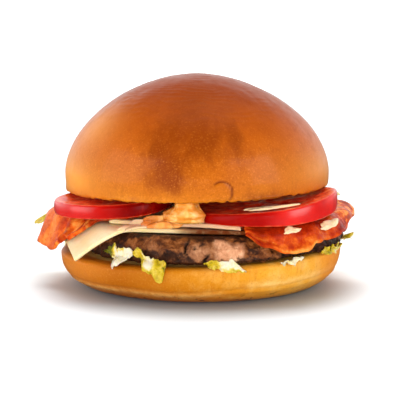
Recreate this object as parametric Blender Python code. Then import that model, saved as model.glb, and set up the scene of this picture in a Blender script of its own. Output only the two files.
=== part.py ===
"""A hamburger with bacon, cheese, tomato, lettuce and sauce, standing on its bottom bun.

The origin is the centre of the bottom bun's flat underside, +Z is up and the shown side
faces -Y. Sizes are in millimetres and angles in degrees; solid() turns them into metres.
The layers are stacked from the bottom up, each on the height of the one that carries it.
"""

import math
from collections import namedtuple

import bpy
import numpy as np
from mathutils import Vector, noise

MM = 0.001
GAP = 0.3
LEAN = 0.03

HEEL_RADIUS = 57.8
HEEL_FOOT = 43.0
HEEL_RIM = 15.2
HEEL_RISE = 0.0004
HEEL_LIP = 2.2
HEEL_SIDES = 52
HEEL_SIDE_STEPS = (0.22, 0.42, 0.6, 0.78, 1.0)
HEEL_LIP_STEPS = ((0.4, 1.1), (1.5, 0.35), (3.1, 0.0))
FOOT_POWER = 1.05
SIDE_POWER = 0.95

CROWN_X = -1.7
CROWN_RADIUS = 54.6
CROWN_EDGE = 39.4
CROWN_LEAN = 0.022
CROWN_HOLLOW = 2.2
CROWN_WAIST = 46.0
CROWN_TOP = 87.0
CROWN_LIP = 1.4
CROWN_SIDES = 60
CROWN_TURNS = 10
CROWN_LAST_TURN = 81.0
VALLEY_DEPTH = 0.9
VALLEY_ANGLE = 254.0
VALLEY_HEIGHT = 44.0
VALLEY_HALF_ANGLE = 7.0
VALLEY_HALF_HEIGHT = 9.0

PATTY_X = 4.9
PATTY_Y = -1.5
PATTY_RADIUS = 54.3
PATTY_TOP = 26.2
PATTY_LIFT = 1.5
PATTY_SAG = 0.9
PATTY_CRAG = 1.0
PATTY_SIDES = 56
PATTY_RINGS = (
    (0.5, 0.0, 0.0), (0.93, 0.0, 0.0), (0.97, 0.0, 0.1), (0.995, 0.12, 0.6), (1.0, 0.36, 1.0),
    (0.995, 0.62, 1.0), (0.94, 0.88, 0.4), (0.89, 1.0, 0.0), (0.5, 1.0, 0.0),
)

CHEESE_THICK = 1.7
CHEESE_LIFTS = (0.48, 2.6)
CHEESE_CELLS = 13
BACON_THICK = 1.5
LEAF_THICK = 0.6
BED_RADIUS = 45.5

FOLD_RADIUS = 51.0
FOLD_BEND = 4.0
FOLD_HANG = ((0, 55), (55, 45), (90, 45), (137, 48), (162, 40), (185, 38),
             (212, 50), (240, 50), (270, 45), (300, 62), (330, 62))

Slice = namedtuple("Slice", "x y radius under roll pitch curl flat thick taper")
TOMATO_LEFT = Slice(-34.4, -21.5, 24.3, 33.2, 0.045, 0.028, 0.0045, 6.0, 5.4, 0.0)
TOMATO_RIGHT = Slice(24.3, -25.0, 29.6, 30.9, 0.006, 0.004, 0.0042, 4.0, 5.6, 0.085)
TOMATO_BACK = Slice(-6.0, 28.0, 28.3, 33.4, 0.0, 0.0, 0.0, 0.0, 5.3, 0.0)
TOMATO_SIDES = 38
TOMATO_RINGS = ((0.9, 0.0), (0.25, 0.12), (0.0, 0.45), (0.1, 0.75), (0.45, 0.93), (1.1, 1.0))

Quad = namedtuple("Quad", "front_left front_right back_right back_left wave bow")
CHEESE_LOWER = Quad((-53.5, -37.0), (22.5, -49.0), (33.0, 36.0), (-47.0, 47.0), 3.0, 6.5)
CHEESE_UPPER = Quad((-36.0, -31.0), (15.0, -51.0), (29.0, 33.0), (-32.0, 37.5), -1.5, 1.0)


def smooth(t):
    t = np.clip(t, 0.0, 1.0)
    return t * t * (3.0 - 2.0 * t)


def along(t, pairs):
    """The value at t of a soft line through the pairs (place, value), level beyond its ends."""
    places = [p for p, _ in pairs]
    values = np.array([v for _, v in pairs], float)
    t = np.clip(np.asarray(t, float), places[0], places[-1])
    k = np.clip(np.searchsorted(places, t, side="right") - 1, 0, len(places) - 2)
    start = np.take(places, k)
    part = (t - start) / (np.take(places, k + 1) - start)
    return values[k] + (values[k + 1] - values[k]) * smooth(part)


def around(angle, pairs):
    """Like along, for an angle in radians and pairs (degrees, value) right round a circle."""
    turned = np.degrees(angle) % 360.0
    return along(turned, pairs + ((360.0 + pairs[0][0], pairs[0][1]),))


def uneven(angle, size, phase):
    """A slow wave round a hand-shaped piece."""
    slow = np.cos(2.0 * angle + phase) + 0.6 * np.cos(3.0 * angle + 2.3 * phase)
    return size * (slow + 0.35 * np.cos(5.0 * angle + 4.1 * phase)) / 1.95


def crag(x, y, z, size):
    """Repeatable noise between about -1 and 1 whose lumps are size across."""
    return noise.noise(Vector((x / size, y / size, z / size)))


def turns(count):
    return np.arange(count) * 2.0 * math.pi / count


def material(name, colour, roughness):
    made = bpy.data.materials.new(name)
    made.use_nodes = True
    shader = made.node_tree.nodes["Principled BSDF"]
    shader.inputs["Base Color"].default_value = (*colour, 1.0)
    shader.inputs["Roughness"].default_value = roughness
    shader.inputs["Metallic"].default_value = 0.0
    made.diffuse_color = (*colour, 1.0)
    return made


def solid(name, points, faces, look):
    """Makes the object, with its faces turned outwards."""
    points = np.asarray(points, float) * MM
    corners = points[np.array([f[:3] for f in faces])]
    if np.linalg.det(corners).sum() < 0.0:
        faces = [f[::-1] for f in faces]
    mesh = bpy.data.meshes.new(name)
    mesh.from_pydata(points.tolist(), [], faces)
    mesh.shade_smooth()
    mesh.materials.append(look)
    piece = bpy.data.objects.new(name, mesh)
    bpy.context.scene.collection.objects.link(piece)
    return piece


def rings_solid(name, rings, low, high, look):
    """A closed skin over rings of points, from the pole low to the pole high."""
    count = len(rings[0])
    points = np.vstack([low, *rings, high])
    last = len(points) - 1
    faces = []
    for k in range(count):
        n = (k + 1) % count
        faces.append((0, 1 + n, 1 + k))
        for ring in range(len(rings) - 1):
            a, b = 1 + ring * count, 1 + (ring + 1) * count
            faces.append((a + k, a + n, b + n))
            faces.append((a + k, b + n, b + k))
        top = 1 + (len(rings) - 1) * count
        faces.append((top + k, top + n, last))
    return solid(name, points, faces, look)


def sheet_solid(name, upper, lower, look):
    """A thin solid between two grids of points, both split into triangles alike."""
    rows, columns = upper.shape[:2]
    half = rows * columns
    points = np.vstack([upper.reshape(-1, 3), lower.reshape(-1, 3)])
    faces = []
    for i in range(rows - 1):
        for j in range(columns - 1):
            a, b = i * columns + j, (i + 1) * columns + j
            for face in ((a, b, b + 1), (a, b + 1, a + 1)):
                faces.append(face)
                faces.append(tuple(half + p for p in face[::-1]))
    border = list(range(columns))
    border += [i * columns + columns - 1 for i in range(1, rows)]
    border += [(rows - 1) * columns + j for j in range(columns - 2, -1, -1)]
    border += [i * columns for i in range(rows - 2, 0, -1)]
    for a, b in zip(border, border[1:] + border[:1]):
        faces.append((a, b, half + b))
        faces.append((a, half + b, half + a))
    return solid(name, points, faces, look)


def heel_radius(angle):
    return HEEL_RADIUS + uneven(angle, 0.7, 0.9)


def heel_top(x):
    """The height of the bottom bun's cut face, a little higher on the right."""
    return HEEL_RIM + LEAN * x + HEEL_RISE * x * x


def heel_side(angle, part):
    """Radius and height on the bun's side, part of the way from foot to rim."""
    reach = heel_radius(angle)
    rim = heel_top(reach * np.cos(angle)) - HEEL_LIP
    turn = part * math.pi / 2.0
    radius = HEEL_FOOT + (reach - HEEL_FOOT) * np.sin(turn) ** FOOT_POWER
    return radius, rim * (1.0 - np.cos(turn) ** SIDE_POWER)


def ring(angle, radius, height):
    heights = np.broadcast_to(height, angle.shape)
    return np.stack([radius * np.cos(angle), radius * np.sin(angle), heights], 1)


def make_heel(look):
    angle = turns(HEEL_SIDES)
    rings = [ring(angle, r, 0.0) for r in (HEEL_FOOT * 0.5, HEEL_FOOT)]
    for part in HEEL_SIDE_STEPS:
        rings.append(ring(angle, *heel_side(angle, part)))
    for inset, drop in HEEL_LIP_STEPS:
        r = heel_radius(angle) - inset
        rings.append(ring(angle, r, heel_top(r * np.cos(angle)) - drop))
    for share in (0.7, 0.36):
        r = heel_radius(angle) * share
        rings.append(ring(angle, r, heel_top(r * np.cos(angle))))
    return rings_solid("bun_heel", rings, (0, 0, 0), (0, 0, heel_top(0.0)), look)


def crown_under(x, y):
    """The height of the top bun's cut face, which the filling presses up in the middle."""
    share = np.hypot(x - CROWN_X, y) / CROWN_RADIUS
    return CROWN_EDGE + CROWN_LEAN * x + CROWN_HOLLOW * np.maximum(1.0 - share**4, 0.0)


def crown_valley(angle, height):
    """How far the crust sinks in the soft valley low on the shown side."""
    across = (np.degrees(angle) % 360.0 - VALLEY_ANGLE) / VALLEY_HALF_ANGLE
    up = (height - VALLEY_HEIGHT) / VALLEY_HALF_HEIGHT
    return VALLEY_DEPTH * np.exp(-(across**2)) * np.exp(-(up**2))


def crown_radius(angle, height):
    above = np.clip((height - CROWN_WAIST) / (CROWN_TOP - CROWN_WAIST), 0.0, 1.0)
    below = np.clip((CROWN_WAIST - height) / (CROWN_WAIST - CROWN_EDGE), 0.0, 1.0)
    dome = CROWN_RADIUS * (1.0 - above**1.85) ** (1.0 / 1.8)
    round_form = dome - 0.5 * below**2 + uneven(angle, 0.5, 2.1) * (1.0 - above)
    return round_form - crown_valley(angle, height)


def crown_ring(angle, radius, height):
    points = ring(angle, radius, height)
    points[:, 0] += CROWN_X
    return points


def make_crown(look):
    angle = turns(CROWN_SIDES)
    cos, sin = np.cos(angle), np.sin(angle)
    rings = []
    for share in (0.3, 0.62, 0.88):
        r = CROWN_RADIUS * share
        rings.append(crown_ring(angle, r, crown_under(CROWN_X + r * cos, r * sin)))
    edge = CROWN_EDGE + CROWN_LEAN * (CROWN_X + CROWN_RADIUS * cos)
    r = crown_radius(angle, edge) - CROWN_LIP
    rings.append(crown_ring(angle, r, crown_under(CROWN_X + r * cos, r * sin)))
    height = edge + CROWN_LIP
    rings.append(crown_ring(angle, crown_radius(angle, height), height))
    for turn in np.radians(np.linspace(0.0, CROWN_LAST_TURN, CROWN_TURNS)):
        height = CROWN_WAIST + (CROWN_TOP - CROWN_WAIST) * math.sin(turn) ** 1.05
        rings.append(crown_ring(angle, crown_radius(angle, height), height))
    low = (CROWN_X, 0.0, crown_under(CROWN_X, 0.0))
    return rings_solid("bun_crown", rings, low, (CROWN_X, 0.0, CROWN_TOP), look)


def patty_under(x, share):
    """The height of the patty's underside, whose rim sags over the leaf that it lies on."""
    return heel_top(x) + PATTY_LIFT - PATTY_SAG * smooth((share - 0.93) / 0.04)


def make_patty(look):
    angle = turns(PATTY_SIDES)
    rings = []
    for share, level, rough in PATTY_RINGS:
        points = []
        for a in angle:
            x, y = math.cos(a), math.sin(a)
            bump = crag(x * PATTY_RADIUS, y * PATTY_RADIUS, level * 10.0, 7.0)
            r = PATTY_RADIUS * share + PATTY_CRAG * rough * bump
            x, y = PATTY_X + r * x, PATTY_Y + r * y
            low = patty_under(x, share)
            points.append((x, y, low + (PATTY_TOP - low) * level))
        rings.append(np.array(points))
    low = (PATTY_X, PATTY_Y, patty_under(PATTY_X, 0.0))
    return rings_solid("patty", rings, low, (PATTY_X, PATTY_Y, PATTY_TOP), look)


def fold_over(out, bend, hang):
    """A sheet's way past an edge: how far it reaches out and down, and how far it has turned."""
    turn = np.minimum(out / bend, hang)
    straight = np.maximum(out - bend * hang, 0.0)
    reach = bend * np.sin(turn) + straight * np.cos(hang)
    drop = bend * (1.0 - np.cos(turn)) + straight * np.sin(hang)
    return reach, drop, turn


def drape(angle, radius, shelf, edge, hang, lift):
    """Points of a sheet laid flat at the height shelf, in polar places about the patty,
    and folded down past the radius edge. lift is their distance from the sheet's underside."""
    out = np.maximum(radius - edge, 0.0)
    reach, drop, turn = fold_over(out, FOLD_BEND, hang)
    r = np.minimum(radius, edge) + reach + lift * np.sin(turn)
    z = shelf - drop + lift * np.cos(turn)
    return np.stack([PATTY_X + r * np.cos(angle), r * np.sin(angle), z], -1)


def cheese_plan(quad, cells):
    """The slice's flat outline as a grid of x and y, its front and left edges a little curved."""
    u, v = np.meshgrid(np.linspace(0.0, 1.0, cells + 1), np.linspace(0.0, 1.0, cells + 1))
    corners = [np.array(c)[:, None, None] for c in quad[:4]]
    front = corners[0] * (1.0 - u) + corners[1] * u
    back = corners[3] * (1.0 - u) + corners[2] * u
    x, y = front * (1.0 - v) + back * v
    y = y + quad.wave * np.sin(2.0 * math.pi * u) * (1.0 - v) ** 2
    x = x - quad.bow * np.sin(math.pi * v) * (1.0 - u) ** 2
    return x, y


def make_cheese(name, quad, lift, look):
    x, y = cheese_plan(quad, CHEESE_CELLS)
    angle = np.arctan2(y, x - PATTY_X)
    radius = np.hypot(x - PATTY_X, y)
    hang = np.radians(around(angle, FOLD_HANG))
    faces = [
        drape(angle, radius, PATTY_TOP, FOLD_RADIUS, hang, lift + thick)
        for thick in (CHEESE_THICK, 0.0)
    ]
    return sheet_solid(name, *faces, look)


Rasher = namedtuple("Rasher", "start end inner edge reach hang shelf rim ripple waves")
BACON_LEFT = Rasher(
    start=226.0,
    end=170.0,
    inner=((0.0, 40.0), (0.3, 30.0), (1.0, 28.0)),
    edge=((0.0, 51.0), (0.35, 51.5), (0.75, 62.5), (1.0, 63.0)),
    reach=((0.0, -2.0), (0.12, 3.0), (0.38, 14.5), (0.58, 17.5), (0.75, 16.0), (1.0, 10.0)),
    hang=((0.0, 46.0), (0.3, 43.0), (0.6, 70.0), (1.0, 76.0)),
    shelf=30.75,
    rim=((0.0, 30.75), (0.4, 30.6), (0.75, 30.0), (1.0, 30.0)),
    ripple=1.2,
    waves=3.5,
)
BACON_RIGHT = Rasher(
    start=-77.5,
    end=9.0,
    inner=((0.0, 50.0), (0.1, 40.0), (0.22, 31.0), (1.0, 27.0)),
    edge=((0.0, 51.0), (0.5, 51.5), (1.0, 53.0)),
    reach=((0.0, 4.0), (0.09, 9.5), (0.18, 12.4), (0.26, 12.4), (0.38, 9.0), (0.5, 8.6),
           (0.6, 7.4), (0.72, 5.4), (0.88, 5.6), (1.0, 3.0)),
    hang=((0.0, 64.0), (0.6, 60.0), (1.0, 52.0)),
    shelf=28.75,
    rim=((0.0, 28.75), (0.5, 28.85), (0.8, 30.4), (1.0, 31.2)),
    ripple=0.9,
    waves=5.0,
)
BACON_BACK = Rasher(
    start=48.0,
    end=124.0,
    inner=((0.0, 26.0), (1.0, 24.0)),
    edge=((0.0, 51.0), (1.0, 51.0)),
    reach=((0.0, 5.0), (0.2, 9.0), (0.45, 7.0), (0.7, 9.5), (1.0, 6.0)),
    hang=((0.0, 52.0), (1.0, 50.0)),
    shelf=30.95,
    rim=((0.0, 30.95), (1.0, 30.95)),
    ripple=0.8,
    waves=5.0,
)
LEAF_SIDE = Rasher(
    start=168.5,
    end=149.0,
    inner=((0.0, 50.0), (1.0, 50.0)),
    edge=((0.0, 62.0), (1.0, 57.0)),
    reach=((0.0, 13.0), (0.2, 19.3), (0.38, 12.5), (0.7, 13.0), (1.0, 6.0)),
    hang=((0.0, 33.0), (1.0, 32.0)),
    shelf=29.6,
    rim=((0.0, 29.6), (1.0, 29.2)),
    ripple=2.6,
    waves=2.5,
)
LEAF_HIGH = Rasher(
    start=20.0,
    end=50.0,
    inner=((0.0, 32.0), (1.0, 34.0)),
    edge=((0.0, 53.0), (1.0, 52.0)),
    reach=((0.0, 3.0), (0.2, 8.0), (0.4, 6.0), (0.65, 10.0), (0.85, 7.0), (1.0, 3.0)),
    hang=((0.0, 36.0), (1.0, 26.0)),
    shelf=35.2,
    rim=((0.0, 34.6), (1.0, 35.2)),
    ripple=2.4,
    waves=3.5,
)
BACON_CELLS = (23, 7)


def rasher_sheet(rasher, u, w, lift):
    """A point u along the rasher and w across it, from its inner to its outer side."""
    angle = np.radians(rasher.start + (rasher.end - rasher.start) * u)
    edge = along(u, rasher.edge)
    inner = along(u, rasher.inner)
    radius = inner + (edge + along(u, rasher.reach) - inner) * w
    hang = np.radians(along(u, rasher.hang))
    out = smooth((radius - edge + 4.0) / 9.0)
    wave = 0.5 + 0.5 * np.sin(2.0 * math.pi * (rasher.waves * u + 0.6 * w))
    height = lift + rasher.ripple * out * wave
    raised = smooth((radius - inner) / (edge - inner)) * (along(u, rasher.rim) - rasher.shelf)
    return drape(angle, radius, rasher.shelf + raised, edge, hang, height)


def slice_under(tomato, dx, dy):
    curl = tomato.curl * np.maximum(dx - tomato.flat, 0.0) ** 2
    return tomato.under + tomato.roll * dx + tomato.pitch * dy + curl


def slice_point(tomato, angle, radius, level):
    """A point of the slice, level of the way from its under face to its top."""
    dx, dy = radius * np.cos(angle), radius * np.sin(angle)
    low = slice_under(tomato, dx, dy)
    thick = tomato.thick + tomato.taper * dx
    return np.stack([tomato.x + dx, tomato.y + dy, low + thick * level], -1)


def make_tomato(name, tomato, look):
    angle = turns(TOMATO_SIDES)
    skin = tomato.radius + uneven(angle, 0.35, tomato.x)
    rings = [slice_point(tomato, angle, skin * 0.55, 0.0)]
    for inset, level in TOMATO_RINGS:
        rings.append(slice_point(tomato, angle, skin - inset, level))
    rings.append(slice_point(tomato, angle, skin * 0.55, 1.0))
    low = slice_point(tomato, np.zeros(1), np.zeros(1), 0.0)[0]
    high = slice_point(tomato, np.zeros(1), np.zeros(1), 1.0)[0]
    return rings_solid(name, rings, low, high, look)


Leaf = namedtuple("Leaf", "start end top bottom flare ruffle waves")
BACK_TOP = ((0.0, 1.0), (0.3, 3.4), (0.6, 2.4), (1.0, 1.0))
BACK_BOTTOM = ((0.0, 0.3), (0.25, -3.2), (0.5, -1.6), (0.78, -4.6), (1.0, 0.2))
LEAVES = {
    "lettuce_front_left": Leaf(
        start=-134.0,
        end=-118.6,
        top=((0.0, 4.8), (0.22, 6.8), (0.35, 7.8), (0.61, 7.4), (0.88, 7.0), (1.0, 6.2)),
        bottom=((0.0, 4.2), (0.24, 3.2), (0.43, 0.9), (0.54, -1.2), (0.68, 0.9), (0.8, 2.2), (1.0, 4.0)),
        flare=0.4,
        ruffle=1.3,
        waves=3.5,
    ),
    "lettuce_front_near": Leaf(
        start=-118.2,
        end=-103.2,
        top=((0.0, 6.2), (0.11, 7.2), (0.26, 7.2), (0.42, 4.3), (0.7, 3.8), (0.8, 2.4), (1.0, 1.4)),
        bottom=((0.0, 5.4), (0.18, 3.6), (0.35, 0.8), (0.43, -1.0), (0.59, -2.0), (0.88, -5.2), (1.0, 0.6)),
        flare=0.4,
        ruffle=1.5,
        waves=3.0,
    ),
    "lettuce_front_mid": Leaf(
        start=-89.0,
        end=-73.0,
        top=((0.0, 2.0), (0.1, 3.2), (0.31, 4.3), (0.64, 3.4), (0.78, 1.2), (1.0, -1.6)),
        bottom=((0.0, 1.4), (0.1, 0.2), (0.29, -0.3), (0.5, -1.2), (0.78, -2.1), (1.0, -2.5)),
        flare=0.3,
        ruffle=1.2,
        waves=3.5,
    ),
    "lettuce_front_right": Leaf(
        start=-59.0,
        end=-48.2,
        top=((0.0, 0.4), (0.29, 1.5), (0.56, 1.0), (0.9, 1.8), (1.0, 1.2)),
        bottom=((0.0, -0.3), (0.16, -1.2), (0.57, -1.8), (0.82, -0.7), (1.0, 0.4)),
        flare=0.2,
        ruffle=0.9,
        waves=2.5,
    ),
    "lettuce_right": Leaf(
        start=-38.0,
        end=-20.0,
        top=((0.0, 2.4), (0.38, 3.0), (1.0, 1.6)),
        bottom=((0.0, 0.8), (0.35, -1.0), (0.7, -0.9), (1.0, 0.6)),
        flare=0.0,
        ruffle=1.0,
        waves=3.5,
    ),
    "lettuce_sprig": Leaf(
        start=-3.0,
        end=7.0,
        top=((0.0, 0.4), (0.4, 2.6), (1.0, 0.4)),
        bottom=((0.0, -0.6), (0.5, -1.2), (1.0, -0.6)),
        flare=3.0,
        ruffle=1.0,
        waves=1.5,
    ),
    "lettuce_back_right": Leaf(31.0, 54.0, BACK_TOP, BACK_BOTTOM, 0.4, 1.5, 4.5),
    "lettuce_back": Leaf(86.0, 110.0, BACK_TOP, BACK_BOTTOM, 0.4, 1.4, 5.0),
    "lettuce_back_left": Leaf(147.0, 169.0, BACK_TOP, BACK_BOTTOM, 0.6, 1.6, 4.0),
}
LEAF_CELLS = (11, 5)
LEAF_LEAST = 0.6
RIM_BEND = 2.6


def heel_reach(angle, height):
    """The radius of the bottom bun's side at a height, and of its rim above that."""
    reach = heel_radius(angle)
    rim = heel_top(reach * np.cos(angle)) - HEEL_LIP
    cosine = np.clip(1.0 - height / rim, 0.0, 1.0) ** (1.0 / SIDE_POWER)
    return HEEL_FOOT + (reach - HEEL_FOOT) * (1.0 - cosine**2) ** (FOOT_POWER / 2.0)


def stack_reach(angle, above):
    """How far a leaf stands out that hangs over the bun's rim and leans on the patty."""
    rim = heel_top(HEEL_RADIUS * np.cos(angle))
    shift = PATTY_X * np.cos(angle) + PATTY_Y * np.sin(angle)
    across = PATTY_X * np.sin(angle) - PATTY_Y * np.cos(angle)
    patty = shift + np.sqrt((PATTY_RADIUS + 0.8) ** 2 - across**2)
    low = heel_reach(angle, rim + above)
    return low + (patty - low) * smooth((above - 0.3) / RIM_BEND) + GAP


def leaf_sheet(leaf, u, v, lift):
    """A point u along the leaf and v up it, lift off its inner face."""
    angle = np.radians(leaf.start + (leaf.end - leaf.start) * u)
    bottom = along(u, leaf.bottom)
    above = bottom + np.maximum(along(u, leaf.top) - bottom, LEAF_LEAST) * v
    slope = (stack_reach(angle, above + 0.1) - stack_reach(angle, above - 0.1)) / 0.2
    steep = np.sqrt(1.0 + slope**2)
    wave = 0.5 + 0.5 * np.sin(2.0 * math.pi * leaf.waves * u + 2.4 * v)
    off = lift + leaf.ruffle * wave * (0.3 + 0.7 * np.abs(2.0 * v - 1.0))
    r = stack_reach(angle, above) + off / steep + leaf.flare * v * v
    z = heel_top(HEEL_RADIUS * np.cos(angle)) + above - off * slope / steep
    return np.stack([r * np.cos(angle), r * np.sin(angle), z], -1)


def make_sheet(name, place, item, thick, cells, look):
    """A wavy sheet of the given thickness, from a function that places its points."""
    u, w = np.meshgrid(*(np.linspace(0.0, 1.0, count + 1) for count in cells))
    return sheet_solid(name, place(item, u, w, thick), place(item, u, w, 0.0), look)


def make_lettuce_bed(look):
    """The leaf that lies between the bottom bun and the patty."""
    angle = turns(30)
    rings = []
    for lift, shares in ((GAP, (0.5, 1.0)), (GAP + LEAF_THICK, (1.0, 0.5))):
        for share in shares:
            r = BED_RADIUS * share + uneven(angle, 0.8, 1.3) * share
            x, y = r * np.cos(angle), r * np.sin(angle)
            wave = 0.15 + 0.15 * np.sin(5.0 * angle + 6.0 * share)
            rings.append(np.stack([x, y, heel_top(x) + lift + wave], 1))
    middle = heel_top(0.0) + GAP + 0.15
    return rings_solid("lettuce_bed", rings, (0, 0, middle), (0, 0, middle + LEAF_THICK), look)


def pushed_out(x, y, tomato):
    """Moves points that lie in a tomato slice just outside its skin."""
    dx, dy = x - tomato.x, y - tomato.y
    away = np.hypot(dx, dy)
    least = tomato.radius + 0.5 + GAP
    grow = np.where(away < least, least / np.maximum(away, 0.001), 1.0)
    return tomato.x + dx * grow, tomato.y + dy * grow


SAUCE_X = -5.0
SAUCE_Y = -41.0
SAUCE_LOW = 30.4 + GAP
SAUCE_SIDES = 24
SAUCE_RINGS = (
    (0.0, 7.6, 7.6, 5.5), (0.12, 10.0, 8.2, 7.4), (0.35, 9.6, 8.0, 8.4), (0.55, 7.8, 6.8, 8.2),
    (0.75, 5.8, 5.0, 7.6), (0.95, 4.6, 3.8, 6.4),
)


def make_sauce_drip(look):
    """The thick sauce that wells up between the two front slices of tomato. Each ring has
    a level, its reach to the left and to the right, and its half depth."""
    angle = turns(SAUCE_SIDES)
    rings = []
    for level, left, right, deep in SAUCE_RINGS:
        x = SAUCE_X + np.where(np.cos(angle) < 0.0, left, right) * np.cos(angle)
        y = SAUCE_Y + deep * np.sin(angle)
        for tomato in (TOMATO_LEFT, TOMATO_RIGHT):
            x, y = pushed_out(x, y, tomato)
        top = crown_under(x, y) - GAP
        rings.append(np.stack([x, y, SAUCE_LOW + (top - SAUCE_LOW) * level], 1))
    low = (SAUCE_X, SAUCE_Y, SAUCE_LOW)
    high = (SAUCE_X, SAUCE_Y, crown_under(SAUCE_X, SAUCE_Y) - GAP)
    return rings_solid("sauce_drip", rings, low, high, look)


Patch = namedtuple("Patch", "across along wide deep tail")
SAUCE_ON_TOMATO = Patch(0.0, -22.2, 8.0, 3.0, 0.6)
SAUCE_ON_BACON = Patch(0.475, 0.835, 0.08, 0.045, 0.0)
SAUCE_LOW_ON_BACON = Patch(0.225, 0.73, 0.05, 0.03, 0.0)
PATCH_THICK = 1.1
PATCH_SIDES = 20


def on_tomato(a, b, lift):
    angle, radius = np.arctan2(b, a), np.hypot(a, b)
    points = slice_point(TOMATO_RIGHT, angle, radius, 1.0)
    points[:, 2] += lift
    return points


def on_bacon(a, b, lift):
    return rasher_sheet(BACON_RIGHT, a, b, BACON_THICK + lift)


def make_sauce_patch(name, place, patch, look):
    """A small pool of sauce, lying on the piece whose surface place gives."""
    angle = turns(PATCH_SIDES)
    turned = (np.degrees(angle) + 180.0) % 360.0 - 180.0
    form = 1.0 + 0.12 * np.sin(3.0 * angle + 0.8) + patch.tail * np.exp(-((turned / 18.0) ** 2))
    rings = []
    for share, level in ((0.5, 0.0), (0.92, 0.0), (1.0, 0.3), (0.86, 0.8), (0.5, 1.0)):
        a = patch.across + patch.wide * share * form * np.cos(angle)
        b = patch.along + patch.deep * share * form * np.sin(angle)
        rings.append(place(a, b, GAP + PATCH_THICK * level))
    middle = [np.array([value]) for value in (patch.across, patch.along)]
    low, high = (place(*middle, GAP + PATCH_THICK * level)[0] for level in (0.0, 1.05))
    return rings_solid(name, rings, low, high, look)


def clear_scene():
    for old in list(bpy.data.objects):
        bpy.data.objects.remove(old)


def main():
    clear_scene()
    crust = material("bun_crust", (0.70, 0.28, 0.06), 0.45)
    beef = material("beef", (0.20, 0.09, 0.04), 0.6)
    cheese = material("cheese", (0.86, 0.68, 0.34), 0.4)
    bacon = material("bacon", (0.62, 0.13, 0.04), 0.4)
    tomato = material("tomato", (0.68, 0.02, 0.01), 0.25)
    lettuce = material("lettuce", (0.62, 0.60, 0.10), 0.5)
    sauce = material("sauce", (0.88, 0.52, 0.20), 0.3)
    make_heel(crust)
    make_lettuce_bed(lettuce)
    for name, leaf in LEAVES.items():
        make_sheet(name, leaf_sheet, leaf, LEAF_THICK, LEAF_CELLS, lettuce)
    make_sheet("lettuce_side", rasher_sheet, LEAF_SIDE, LEAF_THICK, LEAF_CELLS, lettuce)
    make_sheet("lettuce_high", rasher_sheet, LEAF_HIGH, LEAF_THICK, LEAF_CELLS, lettuce)
    make_patty(beef)
    make_cheese("cheese_lower", CHEESE_LOWER, CHEESE_LIFTS[0], cheese)
    make_cheese("cheese_upper", CHEESE_UPPER, CHEESE_LIFTS[1], cheese)
    make_sheet("bacon_left", rasher_sheet, BACON_LEFT, BACON_THICK, BACON_CELLS, bacon)
    make_sheet("bacon_right", rasher_sheet, BACON_RIGHT, BACON_THICK, BACON_CELLS, bacon)
    make_sheet("bacon_back", rasher_sheet, BACON_BACK, BACON_THICK, BACON_CELLS, bacon)
    make_tomato("tomato_left", TOMATO_LEFT, tomato)
    make_tomato("tomato_right", TOMATO_RIGHT, tomato)
    make_tomato("tomato_back", TOMATO_BACK, tomato)
    make_sauce_drip(sauce)
    make_sauce_patch("sauce_on_tomato", on_tomato, SAUCE_ON_TOMATO, sauce)
    make_sauce_patch("sauce_on_bacon", on_bacon, SAUCE_ON_BACON, sauce)
    make_sauce_patch("sauce_low_on_bacon", on_bacon, SAUCE_LOW_ON_BACON, sauce)
    make_crown(crust)


main()
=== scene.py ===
"""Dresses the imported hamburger: fine surfaces and procedural materials over its solids.

Lengths are in millimetres, and only the scene itself is in metres. Angles are in degrees in the
tables and in radians in the functions. The shapes follow the same rules as the solids, with finer
steps and low relief added. A row of pairs (place, value) is a soft line that along() reads.
"""

from collections import namedtuple

import bpy
import numpy as np
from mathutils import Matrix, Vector, noise
from numpy import arctan2, cos, degrees, hypot, maximum, minimum, pi, radians, sin


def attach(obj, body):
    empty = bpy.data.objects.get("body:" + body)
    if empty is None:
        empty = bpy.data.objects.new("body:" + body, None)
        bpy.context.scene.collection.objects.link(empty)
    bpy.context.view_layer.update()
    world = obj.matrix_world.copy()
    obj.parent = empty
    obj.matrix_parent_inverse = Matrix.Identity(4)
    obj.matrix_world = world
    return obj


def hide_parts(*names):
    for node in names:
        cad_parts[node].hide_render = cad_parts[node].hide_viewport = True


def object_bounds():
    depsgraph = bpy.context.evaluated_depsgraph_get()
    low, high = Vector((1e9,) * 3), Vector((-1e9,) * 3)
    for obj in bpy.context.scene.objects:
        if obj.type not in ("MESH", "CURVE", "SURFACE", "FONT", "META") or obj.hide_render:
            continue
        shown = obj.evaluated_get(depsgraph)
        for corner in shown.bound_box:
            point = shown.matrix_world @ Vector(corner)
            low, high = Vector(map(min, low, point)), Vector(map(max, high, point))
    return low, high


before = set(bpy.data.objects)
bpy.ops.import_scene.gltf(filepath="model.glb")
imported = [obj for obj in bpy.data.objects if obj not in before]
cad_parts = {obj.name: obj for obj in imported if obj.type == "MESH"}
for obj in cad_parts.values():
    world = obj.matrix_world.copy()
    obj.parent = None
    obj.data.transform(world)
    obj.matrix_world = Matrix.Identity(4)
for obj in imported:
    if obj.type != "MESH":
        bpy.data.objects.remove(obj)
CAD_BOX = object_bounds()

MM = 0.001
INSET = 0.01
CAD_LOW, CAD_HIGH = (np.array(end) / MM + side for end, side in zip(CAD_BOX, (INSET, -INSET)))
CAD_LOW[2] = 0
GAP = 0.3
HASH = np.array((374761393, 668265263, 2147483647))
SCRAMBLE = 1274126177
TURN = 2 * pi

HEEL_TURNS = 300
HEEL_RADIUS = 57.8
HEEL_FOOT = 43
HEEL_RIM = 15.2
HEEL_LEAN = 0.03
HEEL_RISE = 0.0004
HEEL_LIP = 2.2
HEEL_BEND = 3.1
FOOT_POWER = 1.05
SIDE_POWER = 0.95

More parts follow.
